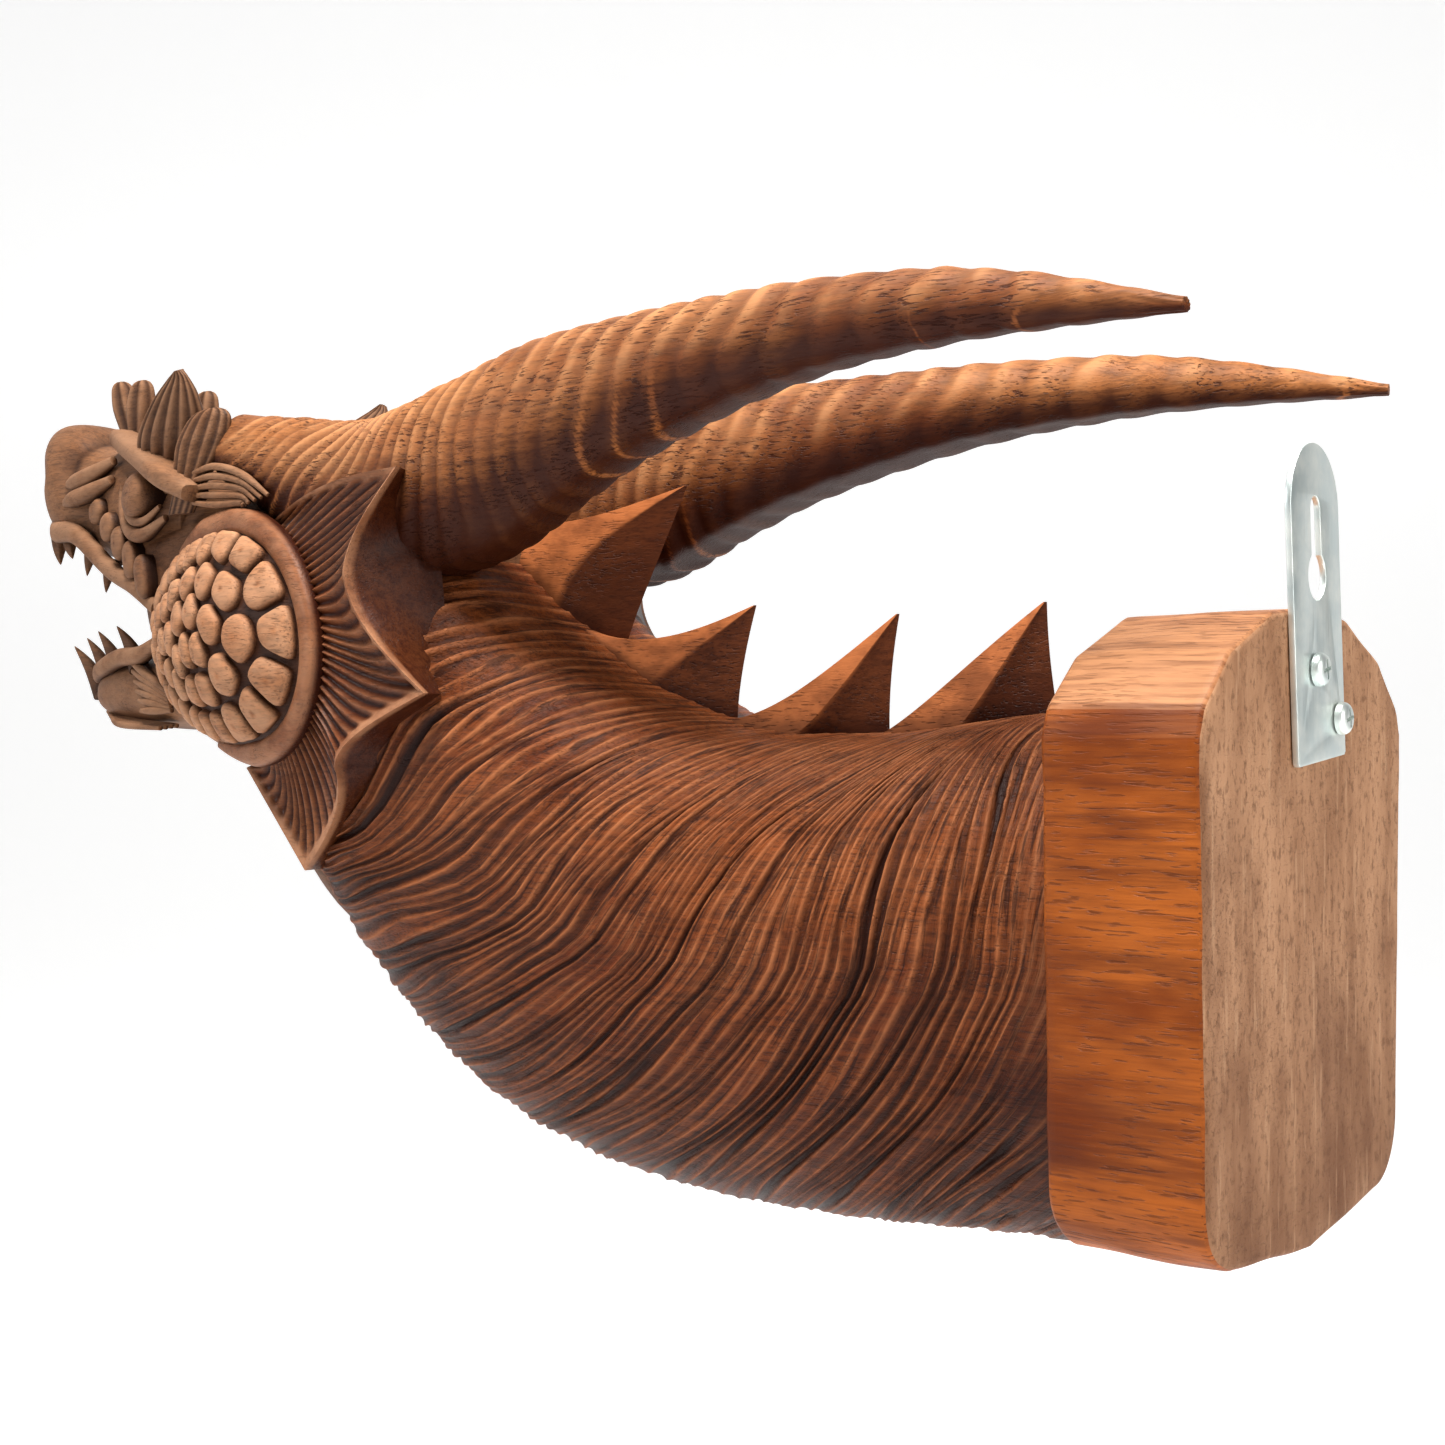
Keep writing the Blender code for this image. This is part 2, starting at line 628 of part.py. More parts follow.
def pebble(where, name, centre, normal, along, length, width, bulge, sides=SCALE_SIDES):
    """A low domed boss: a lip scale or an eyeball, rooted below the surface."""
    normal = normal.normalized()
    first = (along - normal * along.dot(normal)).normalized()
    second = normal.cross(first)
    rings = []
    for share, lift in PEBBLE_RINGS:
        ring = []
        for k in range(sides):
            angle = 2 * math.pi * (k + 0.5) / sides
            flat = first * math.cos(angle) * length / 2 + second * math.sin(angle) * width / 2
            ring.append(centre + (flat * share + normal * bulge * lift) * MM)
        rings.append(ring)
    return loft(name, rings, where)


def flat_length(ahead):
    """The flat field's length on that side of the crown; the front part is drawn longer."""
    return np.where(ahead > 0, CHEEK_FRONT * SCALE_SQUEEZE, CHEEK_REAR)


def flat_cheek(along, up):
    """Shares of the dome laid out flat, in millimetres."""
    return np.stack([along * flat_length(along), up * CHEEK_HEIGHT / 2], axis=-1)


def scale_size(ahead):
    """How wide a scale is, by its flat place ahead of the crown."""
    share = (ahead / flat_length(ahead) + 1) / 2
    return SCALE_REAR + (SCALE_FRONT - SCALE_REAR) * share


def spread_scales():
    """Lets the scales' middles settle over the flat field until each has room for its size."""
    steps = np.linspace(-1, 1, SCALE_SAMPLES)
    along, up = (grid.ravel() for grid in np.meshgrid(steps, steps, indexing="ij"))
    inside = along**2 + up**2 < SCALE_FIELD**2
    field = flat_cheek(along[inside], up[inside])
    sizes = scale_size(field[:, 0])
    filled = np.cumsum(flat_length(field[:, 0]) / sizes**2)
    number = np.arange(SCALE_COUNT)
    middles = field[np.searchsorted(filled, filled[-1] * (number + 0.5) / SCALE_COUNT)]
    weight = flat_length(field[:, 0]) / sizes**4
    for _ in range(SCALE_SETTLING):
        away = np.linalg.norm(field[:, None, :] - middles[None, :, :], axis=-1)
        nearest = away.argmin(axis=1)
        for k in number:
            mine = nearest == k
            middles[k] = np.average(field[mine], axis=0, weights=weight[mine])
    return middles


def scale_reach(middles, k, angles):
    """How far scale k reaches from its middle at each angle, before it meets a neighbour."""
    sizes = scale_size(middles[:, 0])
    walls = []
    for other, spot in enumerate(middles):
        if other != k:
            apart = spot - middles[k]
            span = np.linalg.norm(apart)
            walls.append((math.atan2(apart[1], apart[0]), span * sizes[k] / (sizes[k] + sizes[other])))
    for turn in np.linspace(0, 2 * math.pi, CHEEK_SIDES, endpoint=False):
        edge = flat_cheek(SCALE_FIELD * np.cos(turn), SCALE_FIELD * np.sin(turn))
        outward = edge / np.array([flat_length(edge[0]) ** 2, (CHEEK_HEIGHT / 2) ** 2])
        outward /= np.linalg.norm(outward)
        walls.append((math.atan2(outward[1], outward[0]), (edge - middles[k]) @ outward))
    facing, span = np.array(walls).T
    closeness = np.maximum(np.cos(angles[:, None] - facing), 0) / span
    return (closeness**SCALE_BLUNTNESS).sum(axis=1) ** (-1 / SCALE_BLUNTNESS) - SCALE_GAP / 2


def make_scales(where, side):
    """Pebble scales packed over the dome, large at the rear and small at the mouth."""
    middles = spread_scales()
    angles = 2 * math.pi * (np.arange(SCALE_SIDES) + 0.5) / SCALE_SIDES
    spokes = np.stack([np.cos(angles), np.sin(angles)], axis=-1)
    for k, middle in enumerate(middles):
        reach = scale_reach(middles, k, angles)[:, None]
        rings = []
        for share, lift in PEBBLE_RINGS:
            ring = []
            for ahead, up in middle + spokes * reach * share:
                along = float(ahead / flat_length(ahead))
                above = up / (CHEEK_HEIGHT / 2)
                normal = cheek_normal(side, along, above)
                ring.append(cheek_point(side, along, above) + normal * SCALE_BULGE * lift * MM)
            rings.append(ring)
        loft("scale", rings, where)


def make_rim(where, side):
    """The smooth raised rim round the dome's top, rear and bottom."""
    out = cheek_frame(side)[0]
    path = []
    for k in range(RIM_STEPS + 1):
        angle = math.radians(RIM_START + (RIM_END - RIM_START) * k / RIM_STEPS)
        path.append(cheek_point(side, math.cos(angle), math.sin(angle)))
    rings = []
    for i, point in enumerate(path):
        taper = min(1.0, RIM_TAPER[0] + RIM_TAPER[1] * min(i, RIM_STEPS - i))
        ahead = (path[min(i + 1, RIM_STEPS)] - path[max(i - 1, 0)]).normalized()
        across = ahead.cross(out).normalized()
        ring = []
        for k in range(BAR_SIDES):
            angle = 2 * math.pi * k / BAR_SIDES
            reach = out * math.sin(angle) + across * math.cos(angle) * RIM_WIDENING
            ring.append(point + reach * RIM_RADIUS * taper * MM)
        rings.append(ring)
    return loft("rim", rings, where)


def frill_ridge(share):
    """The scalloped ridge, from its upper front end round to its lower front end."""
    spans = len(FRILL_RIDGE) - 1
    k = min(int(share * spans), spans - 1)
    t = share * spans - k
    here = FRILL_RIDGE[k]
    after = FRILL_RIDGE[k + 1]
    slide = t
    if 0 < k < spans - 1:
        slide = math.sin(t * math.pi / 2) if k % 2 else 1 - math.cos(t * math.pi / 2)
    distance = here[0] + (after[0] - here[0]) * slide
    height = here[1] + (after[1] - here[1]) * (1 - (1 - t) ** FRILL_ARCH if k == 0 else t)
    inset = here[2] + (after[2] - here[2]) * t
    behind = here[3] + (after[3] - here[3]) * t
    return distance, height, PLAQUE_HALF - inset, behind


def make_frill(where, side):
    """The ribbed frill behind the cheek, scalloped between its three points."""
    columns = 2 * FRILL_RIBS
    rings = []
    for i in range(columns + 1):
        share = i / columns
        angle = math.radians(FRILL_START + (FRILL_END - FRILL_START) * share)
        inner = cheek_point(side, FRILL_INNER * math.cos(angle), FRILL_INNER * math.sin(angle))
        distance, height, across, behind = frill_ridge(share)
        ridge = place(distance, across * side, height)
        rib = FRILL_RIB_DEPTH / 2 if i % 2 else -FRILL_RIB_DEPTH / 2
        push = Vector((side * rib * MM, 0, 0))
        middle = inner.lerp(ridge, 0.5) + push
        root = (across - FRILL_ROOT) * side
        back = place(behind, root, height)
        deep = Vector((root * MM, inner.y, inner.z))
        rings.append([inner + push * FRILL_INNER_RIBS, middle, ridge + push, back, deep])
    return loft("frill", rings, where)


def make_bar(where, side, name, points, radii):
    """A tapered bar through a few points, for brows, lids and folds."""
    path = [place(distance, across * side, height) for distance, across, height in points]
    sizes = [(wide * MM, high * MM) for wide, high in radii]
    return loft(name, tube_rings(path, sizes, BAR_SIDES), where)


def make_leaf(where, side, root, tip, width, thick, sweep, outline):
    """A leaf of the crest, broad to the sides; outline gives its width on the way to the tip."""
    start = place(root[0], root[1] * side, root[2])
    rise = place(tip[0], tip[1] * side, tip[2]) - start
    along = Vector((0, -1, 0))
    out = along.cross(rise).normalized()
    rings = []
    for share, wide in outline:
        centre = start + rise * share + along * sweep * MM * share * (1 - share)
        half = along * width / 2 * wide * MM
        edge = out * thick / 2 * MM * max(wide, LEAF_LEAST_THICKNESS)
        rings.append([
            centre - half,
            centre - half * LEAF_FLAT + edge,
            centre + half * LEAF_FLAT + edge,
            centre + half,
            centre + half * LEAF_FLAT - edge,
            centre - half * LEAF_FLAT - edge,
        ])
    return loft("crest leaf", rings, where)


def make_tooth(where, side, root, tip, radius):
    """A pointed tooth, from its root inside the gum to its tip."""
    start = place(root[0], root[1] * side, root[2])
    rise = place(tip[0], tip[1] * side, tip[2]) - start
    bm = bmesh.new()
    bmesh.ops.create_cone(bm, cap_ends=True, segments=TOOTH_SIDES, radius1=radius * MM,
                          radius2=TOOTH_TIP * MM, depth=rise.length)
    turn = rise.to_track_quat("Z", "Y").to_matrix().to_4x4()
    bm.transform(Matrix.Translation(start + rise / 2) @ turn)
    return mesh_object("tooth", bm, where)


def make_face(where, side):
    """Brow, eye, folds, lips, lip scales, crest leaves and teeth of one side."""
    forward = Vector((0, -1, 0))
    for name, points, radii in FACE_BARS:
        make_bar(where, side, name, points, radii)
    facing = Vector((EYE_FACING[0] * side, EYE_FACING[1], EYE_FACING[2]))
    centre = place(EYE_PLACE[0], EYE_PLACE[1] * side, EYE_PLACE[2])
    pebble(where, "eyeball", centre, facing, forward, *EYE_SIZE, EYE_SIDES)
    out = Vector((LIP_BEAD_FACING[0] * side, LIP_BEAD_FACING[1], LIP_BEAD_FACING[2]))
    for k in range(LIP_BEADS):
        share = k / (LIP_BEADS - 1)
        distance, across, height = Vector(LIP_BEAD_FIRST).lerp(Vector(LIP_BEAD_LAST), share)
        size = Vector(LIP_BEAD_FIRST_SIZE).lerp(Vector(LIP_BEAD_LAST_SIZE), share)
        pebble(where, "lip scale", place(distance, across * side, height), out,
               Vector(LIP_BEAD_STANDING), *size)
    for leaf in CREST_LEAVES:
        make_leaf(where, side, *leaf)
    for root, tip, radius in TEETH:
        make_tooth(where, side, root, tip, radius)


def apply_boolean(target, other, operation):
    """Joins or cuts with one object or a collection, and keeps the result as the mesh."""
    step = target.modifiers.new(operation.lower(), "BOOLEAN")
    step.operation = operation
    step.solver = "EXACT"
    if isinstance(other, bpy.types.Collection):
        step.operand_type = "COLLECTION"
        step.collection = other
    else:
        step.object = other
    bpy.context.view_layer.update()
    graph = bpy.context.evaluated_depsgraph_get()
    mesh = bpy.data.meshes.new_from_object(target.evaluated_get(graph))
    target.modifiers.clear()
    target.data = mesh


def largest_body(bm):
    """Keeps the mesh's largest body, and so fills the pockets that a union closes off inside."""
    left = set(bm.verts)
    bodies = []
    while left:
        start = left.pop()
        body = {start}
        edge_of_body = [start]
        while edge_of_body:
            for edge in edge_of_body.pop().link_edges:
                for vert in edge.verts:
                    if vert not in body:
                        body.add(vert)
                        edge_of_body.append(vert)
        left -= body
        bodies.append(body)
    bodies.sort(key=len)
    for body in bodies[:-1]:
        bmesh.ops.delete(bm, geom=list(body), context="VERTS")


def tidy_mesh(target, merge):
    """Joins flat faces and fills pockets; merge also closes the slivers that a union leaves."""
    bm = bmesh.new()
    bm.from_mesh(target.data)
    largest_body(bm)
    bmesh.ops.dissolve_limit(bm, angle_limit=FLAT_ANGLE, verts=bm.verts, edges=bm.edges)
    bmesh.ops.triangulate(bm, faces=bm.faces)
    if merge:
        bmesh.ops.remove_doubles(bm, verts=bm.verts, dist=MERGE_DISTANCE * MM)
        bmesh.ops.dissolve_degenerate(bm, dist=MERGE_DISTANCE * MM, edges=bm.edges)
        bmesh.ops.triangulate(bm, faces=bm.faces)
    bm.to_mesh(target.data)
    bm.free()


def thin_out(target, triangles):
    """Collapses the shortest and flattest edges until about so many triangles are left."""
    step = target.modifiers.new("thinned", "DECIMATE")
    step.ratio = min(1.0, triangles / len(target.data.polygons))
    bpy.context.view_layer.update()
    graph = bpy.context.evaluated_depsgraph_get()
    mesh = bpy.data.meshes.new_from_object(target.evaluated_get(graph))
    target.modifiers.clear()
    target.data = mesh


def plate_place(across, drop):
    """A spot on the leaning plate in the wall's plane, from its place across and down the plate."""
    lean = math.radians(HANGER_LEAN)
    side = HANGER_SIDE + across * math.cos(lean) - drop * math.sin(lean)
    height = HANGER_TOP - drop * math.cos(lean) - across * math.sin(lean)
    return side, height


def arc(across, drop, radius, first, last, steps):
    """Points round a circle on the plate; the angles run from its top edge, clockwise."""
    spots = []
    for k in range(steps + 1):
        angle = math.radians(first + (last - first) * k / steps)
        spots.append((across + radius * math.sin(angle), drop - radius * math.cos(angle)))
    return spots


def make_hanger(where):
    """The strap of zinc-plated steel: round top, keyhole and two screw holes, cut from sheet."""
    half = HANGER_WIDTH / 2
    top_steps, round_steps, slot_steps = HANGER_STEPS
    outline = arc(0, half, half, -FULL_TURN / 4, FULL_TURN / 4, top_steps)
    outline += [(half, HANGER_LENGTH), (-half, HANGER_LENGTH)]
    big = KEYHOLE_DIAMETER / 2
    slot = KEYHOLE_SLOT / 2
    neck = math.degrees(math.asin(slot / big))
    keyhole = arc(0, KEYHOLE_DROP, big, neck, FULL_TURN - neck, round_steps)
    slot_drop = KEYHOLE_DROP - KEYHOLE_RISE
    keyhole += arc(0, slot_drop, slot, -FULL_TURN / 4, FULL_TURN / 4, slot_steps)
    loops = [outline, keyhole]
    hole = SCREW_SHANK / 2 + CLEARANCE
    for _, across, drop in SCREW_PLACES:
        loops.append(arc(across, drop, hole, 0, FULL_TURN, SCREW_SIDES)[:-1])
    curve = bpy.data.curves.new("hanger outline", "CURVE")
    curve.dimensions = "2D"
    curve.fill_mode = "BOTH"
    curve.extrude = HANGER_THICKNESS / 2 * MM
    for loop in loops:
        line = curve.splines.new("POLY")
        line.points.add(len(loop) - 1)
        for spot, (across, drop) in zip(line.points, loop):
            side, height = plate_place(across, drop)
            spot.co = (side * MM, height * MM, 0, 1)
        line.use_cyclic_u = True
    drawn = bpy.data.objects.new("hanger outline", curve)
    where.objects.link(drawn)
    drawn.rotation_euler = (math.pi / 2, 0, 0)
    drawn.location = place(-CLEARANCE - HANGER_THICKNESS / 2, 0, 0)
    return curve_to_mesh(drawn, "hanger_plate", where)


def peg(where, name, radius, near, far, across, height):
    """A round peg square to the wall, between two distances from it."""
    bm = bmesh.new()
    bmesh.ops.create_cone(bm, cap_ends=True, segments=SCREW_SIDES, radius1=radius * MM,
                          radius2=radius * MM, depth=(far - near) * MM)
    bm.transform(Matrix.Translation(place((near + far) / 2, across, height))
                 @ Matrix.Rotation(math.pi / 2, 4, "X"))
    return mesh_object(name, bm, where)


def make_screw(where, tools, name, across, height):
    """A pan-head wood screw, turned from its profile, with a cross slot in its head."""
    seat = -2 * CLEARANCE - HANGER_THICKNESS
    head = SCREW_HEAD / 2
    shank = SCREW_SHANK / 2
    profile = [(0.0, seat - SCREW_HEAD_HEIGHT)]
    for wide, tall in SCREW_HEAD_PROFILE:
        profile.append((head * wide, seat - SCREW_HEAD_HEIGHT * tall))
    profile += [
        (head, seat),
        (shank, seat),
        (shank, seat + SCREW_LENGTH - SCREW_POINT),
        (0.0, seat + SCREW_LENGTH),
    ]
    bm = bmesh.new()
    line = [bm.verts.new(place(distance, across + radius, height)) for radius, distance in profile]
    edges = [bm.edges.new(pair) for pair in zip(line, line[1:])]
    bmesh.ops.spin(bm, geom=line + edges, cent=place(0, across, height), axis=(0, 1, 0),
                   angle=2 * math.pi, steps=SCREW_SIDES, use_duplicate=False)
    bmesh.ops.remove_doubles(bm, verts=bm.verts, dist=CURVE_MERGE_DISTANCE * MM)
    screw = mesh_object(name, bm, where)
    for turn in (0, 90):
        bm = bmesh.new()
        bmesh.ops.create_cube(bm, size=1)
        size = Vector((SCREW_CROSS_REACH, 2 * SCREW_CROSS_DEPTH, SCREW_CROSS)) * MM
        bm.transform(Matrix.Translation(place(seat - SCREW_HEAD_HEIGHT, across, height))
                     @ Matrix.Rotation(math.radians(turn), 4, "Y")
                     @ Matrix.Diagonal(size.to_4d()))
        cut = mesh_object("cross slot", bm, tools)
        apply_boolean(screw, cut, "DIFFERENCE")
    return screw


def make_carving(where, head_shapes, body_shapes):
    """All the carved wood as one solid."""
    skull = tuple((*station, PLAQUE_HALF - inset) for *station, inset in SKULL_STATIONS)
    head = loft("skull", section_rings(skull, HEAD_SIDES, SKULL_BOX, HEAD_STEP), body_shapes)
    loft("snout", section_rings(SNOUT_STATIONS, HEAD_SIDES, JAW_BOX, HEAD_STEP), head_shapes)
    loft("lower jaw", section_rings(JAW_STATIONS, HEAD_SIDES, JAW_BOX, HEAD_STEP), head_shapes)
    for side in (1, -1):
        make_cheek(head_shapes, side)
        make_scales(head_shapes, side)
        make_rim(head_shapes, side)
        make_frill(head_shapes, side)
        make_face(head_shapes, side)
    apply_boolean(head, head_shapes, "UNION")
    tidy_mesh(head, False)
    thin_out(head, HEAD_TRIANGLES)
    for index, fin in enumerate(FINS):
        make_fin(body_shapes, index + 1, *fin)
    make_plaque(body_shapes)
    for side in (1, -1):
        make_horn(body_shapes, side)
    carving = make_neck(where)
    carving.name = "dragon_carving"
    apply_boolean(carving, body_shapes, "UNION")
    tidy_mesh(carving, True)
    return carving


def main():
    clear_scene()
    parts = make_collection(NAME)
    head_shapes = make_collection("Shapes of the head")
    body_shapes = make_collection("Shapes of the body")
    tools = make_collection("Cutters")
    carving = make_carving(parts, head_shapes, body_shapes)
    plate = make_hanger(parts)
    screws = []
    pilot_depth = SCREW_LENGTH - HANGER_THICKNESS - CLEARANCE
    for which, across, drop in SCREW_PLACES:
        side, height = plate_place(across, drop)
        screws.append(make_screw(parts, tools, f"hanger_screw_{which}", side, height))
        hole = peg(tools, "pilot hole", SCREW_SHANK / 2 + CLEARANCE, -1, pilot_depth, side, height)
        apply_boolean(carving, hole, "DIFFERENCE")
    finishes = ((carving, "carved wood", WOOD), (plate, "zinc plate", ZINC))
    finishes += tuple((screw, f"zinc of {screw.name}", ZINC) for screw in screws)
    for piece, finish, look in finishes:
        piece.data.materials.clear()
        piece.data.materials.append(make_material(finish, *look))
    for collection in (head_shapes, body_shapes, tools):
        for shape in collection.objects:
            shape.hide_render = True
            shape.display_type = "WIRE"


main()
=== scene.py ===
# %% [markdown]
# # A carved dragon head, dressed for its portrait
# The real object is one block of red-brown hardwood: a thick plaque, a neck cut all over with
# fine locks of hair, a head with its mouth open, and two ringed horns that sweep back to the
# wall. A steel strap on the back hangs it up. Here each region of the carving is built as its own
# dense mesh over the plain solid, so that every gouge mark is real geometry.

import math

import bmesh
import bpy
import numpy as np
from mathutils import Matrix, Vector


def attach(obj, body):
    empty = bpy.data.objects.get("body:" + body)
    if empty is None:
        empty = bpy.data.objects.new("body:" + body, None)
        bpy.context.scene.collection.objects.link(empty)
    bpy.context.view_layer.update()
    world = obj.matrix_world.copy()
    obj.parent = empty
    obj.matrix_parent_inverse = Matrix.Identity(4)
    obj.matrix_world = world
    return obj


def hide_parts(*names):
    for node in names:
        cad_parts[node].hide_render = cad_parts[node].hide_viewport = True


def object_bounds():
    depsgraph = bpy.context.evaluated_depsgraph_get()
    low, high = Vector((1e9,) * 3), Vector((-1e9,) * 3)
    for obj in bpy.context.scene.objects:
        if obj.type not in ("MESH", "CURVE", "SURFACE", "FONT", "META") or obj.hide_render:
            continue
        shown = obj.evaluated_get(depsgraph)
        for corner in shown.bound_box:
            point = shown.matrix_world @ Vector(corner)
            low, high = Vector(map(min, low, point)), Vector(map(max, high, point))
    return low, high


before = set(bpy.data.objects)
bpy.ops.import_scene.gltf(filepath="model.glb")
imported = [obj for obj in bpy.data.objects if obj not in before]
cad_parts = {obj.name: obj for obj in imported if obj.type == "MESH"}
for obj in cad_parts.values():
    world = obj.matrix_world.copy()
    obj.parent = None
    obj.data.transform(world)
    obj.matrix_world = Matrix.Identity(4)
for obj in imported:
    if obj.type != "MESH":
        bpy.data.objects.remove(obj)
cad_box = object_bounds()
dice = np.random.default_rng(11)
MM = 0.001
print("solid box in mm", [[round(v * 1000, 1) for v in corner] for corner in cad_box])

# %% [markdown]
# ## The camera
# The photograph looks level, from behind and to the left of the plaque. Its place was worked out
# from the plaque's edges: where they meet in the distance gives the angle, and how fast the
# horns shrink gives the lens, whose length is written in the photograph's own pixels. A level
# camera keeps upright edges upright.

# %% Camera
EYE = Vector((0.4245, 0.155, 0.047))
LOOK_ANGLE = math.radians(37.3)
LENS_PIXELS = 1900
PHOTO_PIXELS = 1445
camera_data = bpy.data.cameras.new("photo camera")
camera_data.sensor_width = 36.0
camera_data.lens = LENS_PIXELS / PHOTO_PIXELS * camera_data.sensor_width
camera = bpy.data.objects.new("photo camera", camera_data)
bpy.context.scene.collection.objects.link(camera)
camera.location = EYE
look = Vector((-math.cos(LOOK_ANGLE), -math.sin(LOOK_ANGLE), 0))
camera.rotation_mode = "QUATERNION"
camera.rotation_quaternion = look.to_track_quat("-Z", "Y")
bpy.context.scene.camera = camera
print("lens in mm", round(camera_data.lens, 2))

# %% [markdown]
# ## Floor and light
# A pale sheet runs along the floor and curves up behind the carving, as in a product studio. It
# glows a little by itself, so that it stays near white without flooding the wood with light. One
# strong lamp above gives the light tops and dark undersides that the photograph shows, and two
# weak ones keep the face and the plaque's back readable.

# %% Floor and light
FLOOR = -0.42
SWEEP_START = 2.2
SWEEP_RADIUS = 1.2
SWEEP_STEPS = 16
SHEET_NEAR = -4.0
SHEET_TALL = 5.0
SHEET_HALF = 6.0
PAPER_GREY = 0.8
PAPER_GLOW = 0.55
WORLD_GLOW = 0.16


def make_backdrop():
    """A wide pale sheet: flat under the object, curved up behind it."""
    bm = bmesh.new()
    profile = [(SHEET_NEAR, FLOOR)]
    for k in range(SWEEP_STEPS + 1):
        turn = math.pi / 2 * k / SWEEP_STEPS
        profile.append((
            SWEEP_START + SWEEP_RADIUS * math.sin(turn),
            FLOOR + SWEEP_RADIUS * (1 - math.cos(turn)),
        ))
    profile.append((SWEEP_START + SWEEP_RADIUS, FLOOR + SHEET_TALL))
    across = Vector((look.y, -look.x, 0))
    rows = []
    for ahead, height in profile:
        middle = look * ahead + Vector((0, 0, height))
        rows.append([bm.verts.new(middle + across * side) for side in (-SHEET_HALF, SHEET_HALF)])
    for near, far in zip(rows, rows[1:]):
        bm.faces.new((near[0], near[1], far[1], far[0]))
    mesh = bpy.data.meshes.new("backdrop")
    bm.to_mesh(mesh)
    bm.free()
    mesh.shade_smooth()
    sheet = bpy.data.objects.new("backdrop", mesh)
    bpy.context.scene.collection.objects.link(sheet)
    paper = bpy.data.materials.new("pale paper")
    paper.use_nodes = True
    shader = paper.node_tree.nodes["Principled BSDF"]
    shader.inputs["Base Color"].default_value = (PAPER_GREY, PAPER_GREY, PAPER_GREY, 1)
    shader.inputs["Roughness"].default_value = 1.0
    shader.inputs["Emission Color"].default_value = (1, 1, 1, 1)
    shader.inputs["Emission Strength"].default_value = PAPER_GLOW
    mesh.materials.append(paper)


def make_lamp(name, place, aim, size, watts, colour):
    """A soft rectangular lamp that points at a spot."""
    lamp = bpy.data.lights.new(name, "AREA")
    lamp.size = size
    lamp.energy = watts
    lamp.color = colour
    holder = bpy.data.objects.new(name, lamp)
    bpy.context.scene.collection.objects.link(holder)
    holder.location = place
    holder.rotation_mode = "QUATERNION"
    holder.rotation_quaternion = (Vector(aim) - Vector(place)).to_track_quat("-Z", "Y")


make_backdrop()
make_lamp("top light", (0.3, -0.1, 1.1), (0, -0.2, 0), 0.45, 33, (1, 0.98, 0.95))
make_lamp("face light", (0.85, -0.95, 0.45), (0, -0.3, 0.05), 0.5, 6, (0.97, 0.98, 1))
make_lamp("wall light", (0.35, 1.0, 0.35), (0, 0, 0), 0.7, 8, (1, 0.98, 0.95))
world = bpy.data.worlds.new("studio")
bpy.context.scene.world = world
world.use_nodes = True
world.node_tree.nodes["Background"].inputs["Color"].default_value = (1, 1, 1, 1)
world.node_tree.nodes["Background"].inputs["Strength"].default_value = WORLD_GLOW
bpy.context.scene.view_settings.view_transform = "Standard"

# %% [markdown]
# ## Writing materials as sums
# A material is a small recipe of masks and mixes. Wrapping a node's socket in a class that knows
# plus, minus and times lets the recipe read like arithmetic instead of a list of cables.


# %% Sockets that can be added and multiplied
class Amount:
    """A number that varies over a surface."""

    def __init__(self, recipe, socket):
        self.recipe = recipe
        self.socket = socket

    def _math(self, operation, first, second):
        made = self.recipe.node("ShaderNodeMath", {"operation": operation}, {0: first, 1: second})
        return made.amount(0)

    def __add__(self, other):
        return self._math("ADD", self, other)

    __radd__ = __add__

    def __mul__(self, other):
        return self._math("MULTIPLY", self, other)

    __rmul__ = __mul__

    def __sub__(self, other):
        return self._math("SUBTRACT", self, other)

    def __rsub__(self, other):
        return self._math("SUBTRACT", other, self)

    def clipped(self):
        made = self.recipe.node("ShaderNodeClamp", {}, {"Value": self})
        return made.amount("Result")

    def between(self, low, high):
        """Runs from 0 to 1 as the value goes from low to high, with soft ends."""
        made = self.recipe.node(
            "ShaderNodeMapRange",
            {"interpolation_type": "SMOOTHSTEP"},
            {"Value": self, "From Min": low, "From Max": high},
        )
        return made.amount("Result")


class Step:
    """One node of a recipe."""

    def __init__(self, recipe, made):
        self.recipe = recipe
        self.made = made

    def amount(self, output):
        return Amount(self.recipe, self.made.outputs[output])


